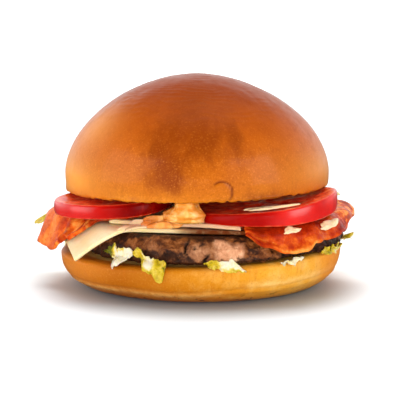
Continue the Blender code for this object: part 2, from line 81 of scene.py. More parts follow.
CROWN_TURNS = 400
CROWN_X = -1.7
CROWN_RADIUS = 54.6
CROWN_EDGE = 39.4
CROWN_LEAN = 0.022
CROWN_HOLLOW = 2.2
CROWN_WAIST = 46
CROWN_TOP = 87
CROWN_LIP = 1.4
MARK_X = 8
MARK_Z = 43.9
MARK_RADIUS = 4.1
# Angle, width, height, how tall and how much, for each darkened place: toasted patches, and painted
# shade that leaves the front middle darker than the sides.
TOAST_AND_SHADE = (
    (259, 7.5, 51, 7, 0.75), (263, 17, 62, 11, 0.8), (288, 5.5, 62, 11, 0.7),
    (250, 6.5, 56, 10, 0.4), (257, 7.5, 46.5, 4, 0.45), (276, 6, 61, 9, 0.5),
    (301, 15, 41.4, 2.4, 0.8), (236, 10, 42, 2.2, 0.4), (268, 24, 74, 10, 0.7),
    (70, 9, 50, 9, 0.8), (150, 8, 55, 10, 0.6), (80, 20, 66, 12, 0.8),
    (175, 22, 68, 11, 0.5), (20, 9, 57, 10, 0.5),
)

PATTY_TURNS = 680
PATTY_X = 4.9
PATTY_Y = -1.5
PATTY_RADIUS = 54.3
PATTY_TOP = 26.2
PATTY_TALL = 10
PATTY_LIFT = 1.5
PATTY_SAG = 0.9
PATTY_CRAG = 1
CRAG_SIZE = 7
# Share of the radius and of the height, from the middle of the underside to that of the top.
PATTY_PATH = ((0.1, 0), (0.5, 0), (0.8, 0), (0.93, 0), (0.97, 0), (0.995, 0.12), (1, 0.36),
              (0.995, 0.62), (0.94, 0.88), (0.89, 1), (0.7, 1), (0.4, 1), (0.1, 1))
# Angle, width, lowest and highest part of the height, and depth.
CRACKS = (
    (-101.4, 0.55, 0.4, 0.98, 1.3), (-91.2, 0.8, 0.06, 0.5, 1.3),
    (-97.7, 0.45, 0.58, 0.8, 1), (-104, 0.5, 0.1, 0.5, 0.5),
    (-66, 0.6, 0.3, 0.9, 0.6), (-118, 0.6, 0.2, 0.7, 0.5),
    (40, 0.7, 0.2, 0.8, 0.8), (118, 0.7, 0.1, 0.6, 0.8), (160, 0.6, 0.3, 0.9, 0.7),
    (-160, 0.6, 0.2, 0.7, 0.8), (-15, 0.6, 0.2, 0.8, 0.6), (75, 0.6, 0.3, 0.8, 0.7),
)

FOLD_RADIUS = 51
FOLD_BEND = 4
FOLD_HANG = ((0, 55), (55, 45), (90, 45), (137, 48), (162, 40), (185, 38), (212, 50), (240, 50),
             (270, 45), (300, 62), (330, 62), (360, 55))

TOMATO_TURNS = 240
Slice = namedtuple("Slice", "x y radius under roll pitch curl flat thick taper")
TOMATOES = {
    "tomato_left": Slice(-34.4, -21.5, 24.3, 33.2, 0.045, 0.028, 0.0045, 6, 5.4, 0),
    "tomato_right": Slice(24.3, -25, 29.6, 30.9, 0.006, 0.004, 0.0042, 4, 5.6, 0.085),
    "tomato_back": Slice(-6, 28, 28.3, 33.4, 0, 0, 0, 0, 5.3, 0),
}
# How far in and how high the rind runs, from the underside to the top.
RIND = ((0.9, 0), (0.45, 0.04), (0.25, 0.12), (0.1, 0.22), (0.02, 0.34), (0, 0.45), (0.02, 0.56),
        (0.06, 0.67), (0.12, 0.77), (0.24, 0.86), (0.45, 0.93), (0.72, 0.975), (1.1, 1))

CHEESE_THICK = 1.7
CHEESE_SIZE = (80, 85)
CHEESE_LIFTS = (0.48, 2.6)
Quad = namedtuple("Quad", "front_left front_right back_right back_left wave bow")
CHEESES = {
    "cheese_lower": Quad((-53.5, -37), (22.5, -49), (33, 36), (-47, 47), 0.8, 6.5),
    "cheese_upper": Quad((-36, -31), (15, -51), (29, 33), (-32, 37.5), -1.5, 1),
}

BACON_THICK = 1.5
BACON_SIZE = (62, 34)
Rasher = namedtuple("Rasher", "start end shelf ripple waves inner edge reach hang rim")
RASHERS = {
    "bacon_left": Rasher(
        226, 170, 30.75, 1.2, 3.5,
        inner=((0, 40), (0.3, 30), (1, 28)), edge=((0, 51), (0.35, 51.5), (0.75, 62.5), (1, 63)),
        reach=((0, -2), (0.12, 3), (0.38, 14.5), (0.58, 17.5), (0.75, 16), (1, 10)),
        hang=((0, 46), (0.3, 43), (0.6, 70), (1, 76)),
        rim=((0, 30.75), (0.4, 30.6), (0.75, 30), (1, 30))),
    "bacon_right": Rasher(
        -77.5, 9, 28.75, 0.9, 5,
        inner=((0, 50), (0.1, 40), (0.22, 31), (1, 27)), edge=((0, 51), (0.5, 51.5), (1, 53)),
        reach=((0, 4), (0.09, 9.5), (0.18, 12.4), (0.26, 12.4), (0.38, 9), (0.5, 8.6), (0.6, 7.4),
               (0.72, 5.4), (0.88, 5.6), (1, 3)),
        hang=((0, 64), (0.6, 60), (1, 52)), rim=((0, 28.75), (0.5, 28.85), (0.8, 30.4), (1, 31.2))),
    "bacon_back": Rasher(
        48, 124, 30.95, 0.8, 5,
        inner=((0, 26), (1, 24)), edge=((0, 51), (1, 51)),
        reach=((0, 5), (0.2, 9), (0.45, 7), (0.7, 9.5), (1, 6)),
        hang=((0, 52), (1, 50)), rim=((0, 30.95), (1, 30.95))),
    "lettuce_side": Rasher(
        168.5, 149, 29.6, 2.6, 2.5,
        inner=((0, 50), (1, 50)), edge=((0, 62), (1, 57)),
        reach=((0, 13), (0.2, 19.3), (0.38, 12.5), (0.7, 13), (1, 6)),
        hang=((0, 33), (1, 32)), rim=((0, 29.6), (1, 29.2))),
    "lettuce_high": Rasher(
        20, 50, 35.2, 2.4, 3.5,
        inner=((0, 32), (1, 34)), edge=((0, 53), (1, 52)),
        reach=((0, 3), (0.2, 8), (0.4, 6), (0.65, 10), (0.85, 7), (1, 3)),
        hang=((0, 36), (1, 26)), rim=((0, 34.6), (1, 35.2))),
}

LEAF_THICK = 0.6
LEAF_HIGH = 8
LEAF_LEAST = 0.6
FLAT_LEAF_SIZE = (26, 22)
RIM_BEND = 2.6
Leaf = namedtuple("Leaf", "start end flare ruffle waves top bottom")
BACK_EDGES = (
    ((0, 1), (0.3, 3.4), (0.6, 2.4), (1, 1)),
    ((0, 0.3), (0.25, -3.2), (0.5, -1.6), (0.78, -4.6), (1, 0.2)),
)
LEAVES = {
    "lettuce_front_left": Leaf(
        -134, -118.6, 0.4, 1.3, 3.5,
        ((0, 4.8), (0.22, 6.8), (0.35, 7.8), (0.61, 7.4), (0.88, 7), (1, 6.2)),
        ((0, 4.2), (0.24, 3.2), (0.43, 0.9), (0.54, -1.2), (0.68, 0.9), (0.8, 2.2), (1, 4))),
    "lettuce_front_near": Leaf(
        -118.2, -103.2, 0.4, 1.5, 3,
        ((0, 6.2), (0.11, 7.2), (0.26, 7.2), (0.42, 4.3), (0.7, 3.8), (0.8, 2.4), (1, 1.4)),
        ((0, 5.4), (0.18, 3.6), (0.35, 0.8), (0.43, -1), (0.59, -2), (0.88, -5.2), (1, 0.6))),
    "lettuce_front_mid": Leaf(
        -89, -73, 0.3, 1.2, 3.5,
        ((0, 2), (0.1, 3.2), (0.31, 4.3), (0.64, 3.4), (0.78, 1.2), (1, -1.6)),
        ((0, 1.4), (0.1, 0.2), (0.29, -0.3), (0.5, -1.2), (0.78, -2.1), (1, -2.5))),
    "lettuce_front_right": Leaf(
        -59, -48.2, 0.2, 0.9, 2.5, ((0, 0.4), (0.29, 1.5), (0.56, 1), (0.9, 1.8), (1, 1.2)),
        ((0, -0.3), (0.16, -1.2), (0.57, -1.8), (0.82, -0.7), (1, 0.4))),
    "lettuce_right": Leaf(
        -38, -20, 0, 1, 3.5, ((0, 2.4), (0.38, 3), (1, 1.6)),
        ((0, 0.8), (0.35, -1), (0.7, -0.9), (1, 0.6))),
    "lettuce_sprig": Leaf(
        -3, 7, 3, 1, 1.5, ((0, 0.4), (0.4, 2.6), (1, 0.4)),
        ((0, -0.6), (0.5, -1.2), (1, -0.6))),
    "lettuce_back_right": Leaf(31, 54, 0.4, 1.5, 4.5, *BACK_EDGES),
    "lettuce_back": Leaf(86, 110, 0.4, 1.4, 5, *BACK_EDGES),
    "lettuce_back_left": Leaf(147, 169, 0.6, 1.6, 4, *BACK_EDGES),
}

DRIP_TURNS = 150
DRIP_X = -5
DRIP_Y = -41
DRIP_LOW = 30.7
DRIP_LEFT = ((0, 7.6), (0.12, 10), (0.35, 9.6), (0.55, 7.8), (0.75, 5.8), (0.95, 4.6))
DRIP_RIGHT = ((0, 7.6), (0.12, 8.2), (0.35, 8), (0.55, 6.8), (0.75, 5), (0.95, 3.8))
DRIP_DEEP = ((0, 5.5), (0.12, 7.4), (0.35, 8.4), (0.55, 8.2), (0.75, 7.6), (0.95, 6.4))
POOL_TURNS = 140
POOL_BULGE = 0.3
Patch = namedtuple("Patch", "across along wide deep tail thick")

EYE = (-0.0004, -0.6, 0.113)
EYE_DOWN = 7.5
EYE_LENS = 131.4
AIM = (0, 0, 0.04)
FLOOR_HALF = 1.4


# Numbers

def unit(t):
    return np.clip(t, 0, 1)


def smooth(t):
    t = unit(t)
    return t * t * (3 - 2 * t)


def ease(t, start, width):
    """Rises from 0 at start to 1 a width further on. A negative width turns it round."""
    return smooth((t - start) / width)


def bell(t, middle, width):
    return np.exp(-(((t - middle) / width) ** 2))


def along(t, pairs):
    """The value at t of a soft line through the pairs (place, value), level beyond its ends."""
    places, values = np.array(pairs, float).T
    t = np.clip(t, places[0], places[-1])
    k = np.clip(np.searchsorted(places, t, side="right") - 1, 0, len(places) - 2)
    part = (t - places[k]) / (places[k + 1] - places[k])
    return values[k] + (values[k + 1] - values[k]) * smooth(part)


def uneven(angle, size, phase):
    """A slow wave round a hand-shaped piece."""
    slow = cos(2 * angle + phase) + 0.6 * cos(3 * angle + 2.3 * phase)
    return size * (slow + 0.35 * cos(5 * angle + 4.1 * phase)) / 1.95


def turns(count):
    return np.arange(count) * TURN / count


def xyz(x, y, z):
    """Points with these coordinates, each an array or one number."""
    return np.stack(np.broadcast_arrays(x, y, z), -1)


def lumps(points, size, seed):
    """Smooth noise from -1 to 1 at each point, whose lumps are size across."""
    scaled = np.asarray(points, float) / size
    cell = np.floor(scaled).astype(np.int64)
    part = smooth(scaled - cell)
    total = 0
    for corner in np.ndindex(2, 2, 2):
        n = ((cell + corner) @ HASH + seed * SCRAMBLE) & 0xFFFFFFFF
        n = ((n ^ (n >> 13)) * SCRAMBLE) & 0xFFFFFFFF
        value = ((n ^ (n >> 16)) & 0xFFFF) / 32767.5 - 1
        total = total + np.prod(np.where(corner, part, 1 - part), -1) * value
    return total


def rough_noise(points, size, seed, octaves=3):
    total = 0
    for k in range(octaves):
        total = total + lumps(points, size / 2**k, seed + 17 * k) / 1.8**k
    return total


# Meshes

def add_object(name, data):
    made = bpy.data.objects.new(name, data)
    bpy.context.scene.collection.objects.link(made)
    return made


def vertex_normals(points, quads):
    """Unit normals of a mesh of quads, whose faces turn outwards."""
    a, b, c, d = points[quads.T]
    face = np.cross(c - a, d - b)
    total = np.zeros_like(points)
    for corner in quads.T:
        np.add.at(total, corner, face)
    return total / (np.linalg.norm(total, axis=1)[:, None] + 1e-12)


def piece(name, points, quads, look, slot, node, **fields):
    """Makes the object, which rides on the body and hides the part of its node, if it has one.
    The fields are values at its points, one for each or one for all, that its look reads."""
    points = np.clip(points, CAD_LOW, CAD_HIGH)
    a, b, c, d = points[quads.T]
    if np.einsum("ij,ij->i", a, np.cross(b, c) + np.cross(c, d)).sum() < 0:
        quads = quads[:, ::-1]
    mesh = bpy.data.meshes.new(name)
    mesh.from_pydata((points * MM).tolist(), [], quads.tolist())
    for key, values in fields.items():
        values = np.broadcast_to(np.asarray(values, np.float32), len(points))
        mesh.attributes.new(key, "FLOAT", "POINT").data.foreach_set("value", values.copy())
    mesh.shade_smooth()
    mesh.materials.append(look)
    made = add_object(name, mesh)
    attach(made, "root")
    if node:
        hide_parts(node)


def wrapped(rows):
    """Points, quads and point values of a closed skin over the rows (ring, value of the ring).
    The rings are equally long, and both ends are drawn to a pole."""
    rings, values = zip(*rows)
    poles = [0 * end + end.mean(0) for end in (rings[0], rings[-1])]
    rings = np.array([poles[0], *rings, poles[1]])
    grid = np.arange(rings.size // 3).reshape(len(rings), -1)
    after = np.roll(grid, -1, 1)
    quads = np.stack([grid[:-1], after[:-1], after[1:], grid[1:]], -1)
    values = np.repeat([values[0], *values, values[-1]], grid.shape[1], 0)
    return rings.reshape(-1, 3), quads.reshape(-1, 4), values


def spread(length, step, edge):
    """Places from 0 to 1 along a length, about step apart, with the ones of edge at both ends."""
    near = edge / length
    inner = np.linspace(0, 1, max(int(length / step), 3) + 1)
    inner = inner[minimum(inner, 1 - inner) > near[-1] * 1.3]
    return np.concatenate([[0], near, inner, 1 - near[::-1], [1]])


def from_border(u, w, size):
    """How far the places (u, w) of a sheet are from its nearest border."""
    return minimum(minimum(u, 1 - u) * size[0], minimum(w, 1 - w) * size[1])


def sheet(place, item, size, thick, step, relief=None):
    """Points, quads and the places (u, w) of a thin solid with round borders.
    place gives its points, and relief gives how much each face rises, both from u and w."""
    radius = thick * 0.5
    edge = radius * np.array((0.08, 0.3, 0.65, 1.1))
    u, w = np.meshgrid(*(spread(length, step, edge) for length in size))
    part = unit(from_border(u, w, size) / radius)
    full = np.sqrt(1 - (1 - part) ** 2)
    up, down = radius * (1 + full), radius * (1 - full)
    if relief:
        rise = relief(u, w) * full
        up, down = up + rise, down + maximum(rise, 0) * 0.6
    points = np.vstack([place(item, u, w, face).reshape(-1, 3) for face in (up, down)])
    grid = np.arange(u.size).reshape(u.shape)
    corners = [grid[:-1, :-1], grid[1:, :-1], grid[1:, 1:], grid[:-1, 1:]]
    top = np.stack(corners, -1).reshape(-1, 4)
    border = np.concatenate([grid[0], grid[1:, -1], grid[-1, -2::-1], grid[-2:0:-1, 0]])
    after = np.roll(border, -1)
    side = np.stack([border, after, u.size + after, u.size + border], 1)
    quads = np.vstack([top, (top + u.size)[:, ::-1], side])
    return points, quads, np.tile(u.ravel(), 2), np.tile(w.ravel(), 2)


# Materials

def linear(rgb):
    c = np.array(rgb, float) / 255
    c = np.where(c <= 0.04045, c / 12.92, ((c + 0.055) / 1.055) ** 2.4)
    return (*c.tolist(), 1)


class Nodes:
    """The shader nodes of a material or of the world."""

    def __init__(self, owner):
        owner.use_nodes = True
        self.tree = owner.node_tree

    def feed(self, socket, value):
        if isinstance(value, bpy.types.NodeSocket):
            self.tree.links.new(value, socket)
        else:
            socket.default_value = value

    def fill(self, sockets, **values):
        """Feeds the sockets of these names, in which _ stands for a space."""
        for key, value in values.items():
            self.feed(sockets[key.replace("_", " ")], value)

    def node(self, kind, *values, **settings):
        """A new node, whose first sockets get the values."""
        made = self.tree.nodes.new("ShaderNode" + kind)
        for key, setting in settings.items():
            setattr(made, key, setting)
        for socket, value in zip(made.inputs, values):
            self.feed(socket, value)
        return made

    def times(self, a, b, clamp=False):
        return self.node("Math", a, b, operation="MULTIPLY", use_clamp=clamp).outputs[0]

    def plus(self, a, b):
        return self.node("Math", a, b, operation="ADD").outputs[0]

    def span(self, value, low, high, start=0, end=1, kind="SMOOTHSTEP"):
        """value mapped from low..high to start..end."""
        made = self.node("MapRange", value, low, high, start, end, interpolation_type=kind)
        return made.outputs[0]


class Look(Nodes):
    """A procedural material. Its colours are 0 to 255."""

    def __init__(self, name, **fixed):
        self.made = bpy.data.materials.new(name)
        super().__init__(self.made)
        self.shader = self.tree.nodes["Principled BSDF"].inputs
        self.fill(self.shader, **fixed)
        self.place = self.scaled(self.node("TexCoord").outputs["Object"], (1 / MM, 1 / MM, 1 / MM))
        self.normal = None

    def scaled(self, vector, by):
        return self.node("VectorMath", vector, by, operation="MULTIPLY").outputs["Vector"]

    def part(self, axis):
        return self.node("SeparateXYZ", self.place).outputs[axis]

    def field(self, name, much=None):
        """What the piece gives under this name, times much."""
        value = self.node("Attribute", attribute_name=name).outputs["Fac"]
        return self.times(value, much) if much else value

    def noise(self, size, detail=3, rough=0.6, stretch=(1, 1, 1), twist=0):
        made = self.node("TexNoise", self.scaled(self.place, stretch))
        self.fill(made.inputs, Scale=1 / size, Detail=detail, Roughness=rough, Distortion=twist)
        return made.outputs["Fac"]

    def sway(self, value, much):
        """How far a value from 0 to 1 is off its middle, times much."""
        return self.times(self.plus(value, -0.5), much)

    def ramp(self, fac, *stops):
        """A colour for each (place, rgb)."""
        made = self.node("ValToRGB", fac)
        bar = made.color_ramp
        for k, (place, rgb) in enumerate(stops):
            stop = bar.elements[k] if k < 2 else bar.elements.new(place)
            stop.position = place
            stop.color = linear(rgb)
        return made.outputs["Color"]

    def mix(self, fac, *colours):
        made = self.node("Mix", fac, data_type="RGBA")
        for socket, colour in zip(made.inputs[6:8], colours):
            self.feed(socket, linear(colour) if isinstance(colour, tuple) else colour)
        return made.outputs[2]

    def paint(self, fac, colour):
        """Lays a colour over what is there, as thickly as fac says."""
        self.colour = self.mix(fac, self.colour, colour)

    def stain(self, value, low, high, much, colour):
        """Paints from where value is low to where it is high, there as thickly as much says."""
        self.paint(self.span(value, low, high, 0, much), colour)

    def bump(self, height, size, strength):
        """Adds relief that is size deep."""
        made = self.node("Bump")
        self.fill(made.inputs, Strength=strength, Distance=size * MM, Height=height)
        if self.normal:
            self.fill(made.inputs, Normal=self.normal)
        self.normal = made.outputs["Normal"]

    def done(self, roughness):
        self.fill(self.shader, Base_Color=self.colour, Roughness=roughness, Normal=self.normal)
        return self.made


def coat(weight, roughness, ior):
    return {"Coat_Weight": weight, "Coat_Roughness": roughness, "Coat_IOR": ior}


def soft(scale, radius, weight):
    """Sockets for light that spreads under the surface."""
    return {"Subsurface_Weight": weight, "Subsurface_Radius": radius,
            "Subsurface_Scale": scale * MM}


def crown_look():
    look = Look("crust_of_crown", IOR=1.42, Specular_IOR_Level=0.2, **coat(0.26, 0.14, 1.36))
    height = look.part(2)
    warped = look.plus(height, look.sway(look.noise(16, 3, 0.55), 12))
    look.colour = look.ramp(
        look.span(warped, 36, 88, kind="LINEAR"), (0, (214, 128, 30)), (0.07, (202, 114, 16)),
        (0.16, (188, 98, 8)), (0.29, (184, 92, 10)), (0.46, (182, 87, 10)), (0.63, (168, 75, 4)),
        (0.83, (144, 57, 0)), (1, (140, 54, 0)))
    wisps = look.sway(look.noise(5, 5, 0.62, (1, 1, 0.4), 0.4), 1.4)
    # Toasted patches, and painted shade over the front middle.
    look.stain(look.plus(look.field("toast"), wisps), 0.1, 1.2, 0.94, (135, 55, 0))
    mottle = look.noise(3.4, 4)
    look.stain(mottle, 0.45, 0.8, 0.3, (130, 48, 0))
    fine = look.noise(0.7, 3, 0.7)
    grain = look.span(height, 74, 50, 0.1, 0.34)
    look.paint(look.times(look.span(fine, 0.52, 0.74), grain), (244, 150, 60))
    look.paint(look.times(look.span(fine, 0.48, 0.28), grain), (122, 42, 0))
    # Painted highlight: the left and right sides are made lighter, as sheen from the side lights.
    look.paint(look.field("pale", 0.75), (244, 160, 58))
    look.paint(look.field("mark", 0.95), (112, 40, 2))
    crumb = look.field("crumb")
    look.paint(crumb, look.mix(look.noise(2, 4, 0.7), (226, 160, 84), (250, 204, 132)))
    look.bump(look.noise(0.8), 0.035, 0.5)
    look.bump(look.noise(4.5, 3, 0.5), 0.13, 0.55)
    look.bump(look.times(look.noise(1.6, 4, 0.7), crumb), 0.9, 0.9)
    return look.done(look.plus(look.span(mottle, 0.3, 0.7, 0.36, 0.46), look.times(crumb, 0.4)))


def heel_look():
    look = Look("crust_of_heel", IOR=1.42, Specular_IOR_Level=0.15, **coat(0.1, 0.3, 1.36))
    across, height = look.part(0), look.part(2)
    warped = look.plus(height, look.sway(look.noise(12, 3, 0.55), 5))
    look.colour = look.ramp(
        look.span(warped, -1, 17, kind="LINEAR"), (0, (140, 58, 0)), (0.1, (186, 92, 2)),
        (0.26, (206, 122, 16)), (0.72, (216, 140, 24)), (1, (208, 122, 12)))
    side = look.span(across, -58, 30, kind="LINEAR")
    look.stain(side, 0.85, 0.25, 0.9, (168, 86, 0))
    look.stain(side, 0.32, 0.1, 0.7, (216, 126, 30))
    look.stain(across, 4, 36, 0.6, (242, 176, 58))
    mottle = look.noise(6, 4, 0.6, (1, 1, 0.7))
    glow = look.times(look.span(mottle, 0.42, 0.7, 0, 0.75), look.span(side, 0.35, 1))
    look.paint(glow, (232, 178, 88))
    look.stain(look.noise(2.2, 3, 0.6, (1, 1, 0.12)), 0.55, 0.75, 0.3, (190, 92, 4))
    flour = look.span(look.noise(3), 0.3, 0.7, 0.3, 1)
    look.paint(look.times(look.field("pale"), flour), (255, 206, 122))
    look.stain(across, 41, 54, 0.75, (226, 124, 10))
    spots = look.span(look.noise(2.6, 2, 0.5), 0.6, 0.68)
    look.paint(look.times(spots, look.span(height, 5.5, 1.6, 0, 0.85)), (92, 46, 14))
    fine = look.noise(0.7, 3, 0.7)
    look.stain(fine, 0.52, 0.74, 0.22, (238, 176, 84))
    look.stain(fine, 0.48, 0.28, 0.35, (160, 74, 2))
    crumb = look.mix(look.noise(2, 4, 0.7), (236, 170, 80), (255, 208, 120))
    look.paint(look.field("crumb"), crumb)
    look.bump(look.noise(1), 0.05, 0.6)
    look.bump(look.noise(4, 3, 0.5, (1, 1, 0.5)), 0.2, 0.5)
    return look.done(look.span(mottle, 0.3, 0.7, 0.42, 0.54))


def beef_look():
    look = Look("grilled_beef", IOR=1.45, Specular_IOR_Level=0.3, **coat(0.1, 0.22, 1.4))
    grain = look.noise(3.4, 6, 0.66, twist=0.5)
    look.colour = look.ramp(grain, (0.34, (62, 25, 5)), (0.43, (98, 48, 15)), (0.52, (132, 74, 32)),
                            (0.62, (158, 96, 50)), (0.72, (190, 130, 80)))
    look.stain(look.noise(9, 3, 0.5), 0.5, 0.7, 0.4, (122, 58, 18))
    look.stain(look.noise(1.1, 2, 0.5), 0.38, 0.28, 0.7, (48, 20, 8))
    rosy = look.ramp(grain, (0.3, (172, 104, 64)), (0.5, (220, 155, 112)), (0.7, (244, 196, 156)))
    look.paint(look.field("pink", 0.95), rosy)
    # Char patches, with painted shade along the bottom and painted shadow of the cheese along the
    # top edge.
    char = look.plus(look.field("char"), look.sway(look.noise(3.2, 4), 2.2))
    dark = look.ramp(grain, (0.35, (22, 11, 7)), (0.56, (58, 28, 14)), (0.74, (120, 70, 40)))
    look.stain(char, 0.35, 0.8, 0.95, dark)
    look.paint(look.field("crack"), (20, 8, 4))
    look.bump(look.noise(0.9, 4, 0.65), 0.35, 0.8)
    look.bump(grain, 0.9, 0.6)
    return look.done(look.span(grain, 0.3, 0.7, 0.62, 0.38))


def cheese_look():
    look = Look("cheese_slice", IOR=1.4, **soft(2.5, (1, 0.7, 0.3), 0.3))
    cloud = look.noise(9, 3, 0.5)
    look.colour = look.ramp(cloud, (0.3, (248, 222, 166)), (0.7, (255, 240, 198)))
    fine = look.noise(0.9)
    look.stain(fine, 0.5, 0.75, 0.2, (226, 178, 100))
    look.paint(look.field("rim", 0.4), (240, 200, 130))
    # Painted shade over the front of the upper slice, under the tomatoes.
    look.paint(look.field("tan"), (230, 182, 144))
    # brown is painted shade over the front right of the lower slice, in patches.
    patchy = look.plus(look.noise(3), 0.5)
    look.paint(look.times(look.field("brown"), patchy, clamp=True), (106, 48, 14))
    look.bump(look.noise(3, 3, 0.5), 0.12, 0.5)
    look.bump(fine, 0.03, 0.5)
    return look.done(look.span(cloud, 0.3, 0.7, 0.34, 0.46))


def bacon_look():
    look = Look("bacon_rasher", IOR=1.4, Specular_IOR_Level=0.1, **coat(0.14, 0.14, 1.32))
    grain = look.noise(1.7, 5, 0.68, twist=0.6)
    fat = look.plus(look.field("fat"), look.sway(look.noise(3.6, 4), 1.3))
    look.colour = look.ramp(fat, (0, (130, 20, 2)), (0.25, (168, 40, 5)), (0.5, (200, 66, 10)),
                            (0.72, (226, 106, 26)), (1, (244, 156, 66)))
    pale = look.ramp(grain, (0.35, (198, 78, 18)), (0.65, (232, 124, 58)))
    look.paint(look.field("pale", 0.75), pale)
    # brown paints darker patches, and on the left rasher painted shadow under the tomato.
    look.paint(look.field("brown", 0.8), (112, 26, 2))
    look.stain(grain, 0.42, 0.28, 0.6, (100, 20, 3))
    look.stain(grain, 0.62, 0.78, 0.45, (244, 160, 84))
    look.bump(look.noise(2.2, 4), 0.5, 0.7)
    look.bump(grain, 0.3, 0.7)
    return look.done(look.span(grain, 0.3, 0.7, 0.4, 0.24))


def tomato_look():
    look = Look("tomato_slice", IOR=1.4, Specular_IOR_Level=0.1, Coat_Roughness=0.23, Coat_IOR=1.7)
    look.fill(look.shader, Coat_Weight=look.field("wet"))
    look.colour = look.ramp(look.noise(7, 3, 0.5), (0.3, (192, 8, 2)), (0.7, (218, 22, 10)))
    # Painted shade on the skin.
    look.paint(look.field("dim"), (112, 1, 0))
    look.stain(look.noise(2, 3, 0.5, (1, 1, 0.25)), 0.55, 0.8, 0.3, (196, 36, 16))
    pulp = look.noise(3, 4)
    flesh = look.ramp(pulp, (0.3, (178, 16, 4)), (0.5, (222, 50, 20)), (0.72, (248, 124, 76)))
    skin = look.field("skin")
    look.colour = look.mix(skin, flesh, look.colour)
    cut = look.plus(1, look.times(skin, -1))
    look.bump(pulp, 0.35, 0.4)
    look.bump(look.times(look.noise(1.4), cut), 0.4, 0.7)
    return look.done(look.plus(look.times(cut, 0.06), 0.24))


def lettuce_look():
    look = Look("lettuce_leaf", IOR=1.4, Coat_Weight=0.2, Coat_Roughness=0.15,
                **soft(1, (0.8, 1, 0.3), 0.25))
    vein = look.noise(2, 4, twist=0.5)
    tint = look.plus(look.field("tint"), look.sway(vein, 1.3))
    look.colour = look.ramp(tint, (0, (230, 220, 192)), (0.22, (224, 206, 150)),
                            (0.45, (216, 190, 70)), (0.68, (196, 164, 18)), (1, (96, 98, 8)))
    look.bump(vein, 0.5, 0.7)
    look.bump(look.noise(0.8), 0.12, 0.5)
    return look.done(look.span(vein, 0.3, 0.7, 0.42, 0.28))


def sauce_look():
    look = Look("creamy_sauce", IOR=1.45, Coat_Weight=0.8, Coat_Roughness=0.07,
                **soft(1.5, (1, 0.55, 0.25), 0.3))
    cloud = look.noise(3.2, 3, 0.5, twist=0.6)
    look.colour = look.ramp(cloud, (0.28, (222, 128, 36)), (0.5, (240, 158, 62)),
                            (0.72, (252, 198, 118)))
    # Painted light: the thin pools, which lie in shade, are painted lighter.
    look.paint(look.field("thin", 0.85), (255, 226, 182))
    look.paint(look.field("rich", 0.75), (206, 98, 22))
    look.stain(look.noise(0.9, 2, 0.5), 0.68, 0.75, 0.5, (190, 84, 24))
    look.bump(cloud, 0.4, 0.5)
    return look.done(look.span(cloud, 0.3, 0.7, 0.2, 0.3))


# Buns

def ring(angle, radius, height, middle=0):
    return xyz(middle + radius * cos(angle), radius * sin(angle), height)


def heel_radius(angle):
    return HEEL_RADIUS + uneven(angle, 0.7, 0.9)


def heel_top(x):
    return HEEL_RIM + HEEL_LEAN * x + HEEL_RISE * x * x


def heel_side(angle, part):
    """Radius and height of the bottom bun's side, at a part of the way up it."""
    reach = heel_radius(angle)
    rim = heel_top(reach * cos(angle)) - HEEL_LIP
    turn = part * pi / 2
    radius = HEEL_FOOT + (reach - HEEL_FOOT) * sin(turn) ** FOOT_POWER
    return radius, rim * (1 - cos(turn) ** SIDE_POWER)


def make_heel(look):
    angle = turns(HEEL_TURNS)
    reach = heel_radius(angle)
    rows = [(ring(angle, HEEL_FOOT * s, 0), 0) for s in (0.1, 0.3, 0.5, 0.7, 0.85, 0.95, 1)]
    rows += [(ring(angle, *heel_side(angle, part)), 0) for part in np.linspace(0, 1, 44)[1:]]
    for turn in radians(np.linspace(0, 90, 9)[1:]):
        r = reach - HEEL_BEND * (1 - cos(turn))
        z = heel_top(r * cos(angle)) - HEEL_LIP * (1 - sin(turn))
        rows.append((ring(angle, r, z), 0))
    for share in (0.93, 0.9, 0.86, 0.8, 0.7, 0.5, 0.3, 0.1):
        r = reach * share
        rows.append((ring(angle, r, heel_top(r * cos(angle))), float(share < 0.87)))
    points, quads, crumb = wrapped(rows)
    normal = vertex_normals(points, quads)
    x, y, z = points.T
    side = ease(z, 0, 2) * ease(z, heel_top(x) - 0.4, -2)
    wrinkled = bell(degrees(arctan2(y, x)), -94, 7) * bell(z, 7, 3.5)
    ridge = 5.4 + 0.045 * maximum(x, 0) + 0.35 * sin(0.15 * x)
    rise = (0.22 * lumps(points * (1, 1, 3), 14, 5) + 0.1 * lumps(points, 4, 6) - 0.25
            + 0.16 * wrinkled * sin(x * 2.4)
            + 0.24 * bell(z, ridge - 1.3, 0.8) - 0.2 * bell(z, ridge, 0.5))
    outward = np.linalg.norm(normal[:, :2], axis=1)
    points = points + normal * (rise * side * outward)[:, None]
    x, y = points[:, 0], points[:, 1]
    pale = (0.75 * bell(z, ridge + 1.6, 1.3) * ease(x, 12, 12)
            + 0.45 * bell(z, ridge - 1.4, 1.1) * ease(x, 14, -16))
    piece("heel_crust", points, quads, look, "bun_crust", "bun_heel",
          crumb=crumb, pale=pale * ease(y, 0, -20))


def crown_under(x, y):
    share = hypot(x - CROWN_X, y) / CROWN_RADIUS
    return CROWN_EDGE + CROWN_LEAN * x + CROWN_HOLLOW * maximum(1 - share**4, 0)


def crown_radius(angle, height):
    above = unit((height - CROWN_WAIST) / (CROWN_TOP - CROWN_WAIST))
    below = unit((CROWN_WAIST - height) / (CROWN_WAIST - CROWN_EDGE))
    dome = CROWN_RADIUS * (1 - above**1.85) ** (1 / 1.8)
    hollow = 0.9 * bell(degrees(angle) % 360, 254, 7) * bell(height, 44, 9)
    return dome - 0.5 * below**2 + uneven(angle, 0.5, 2.1) * (1 - above) - hollow


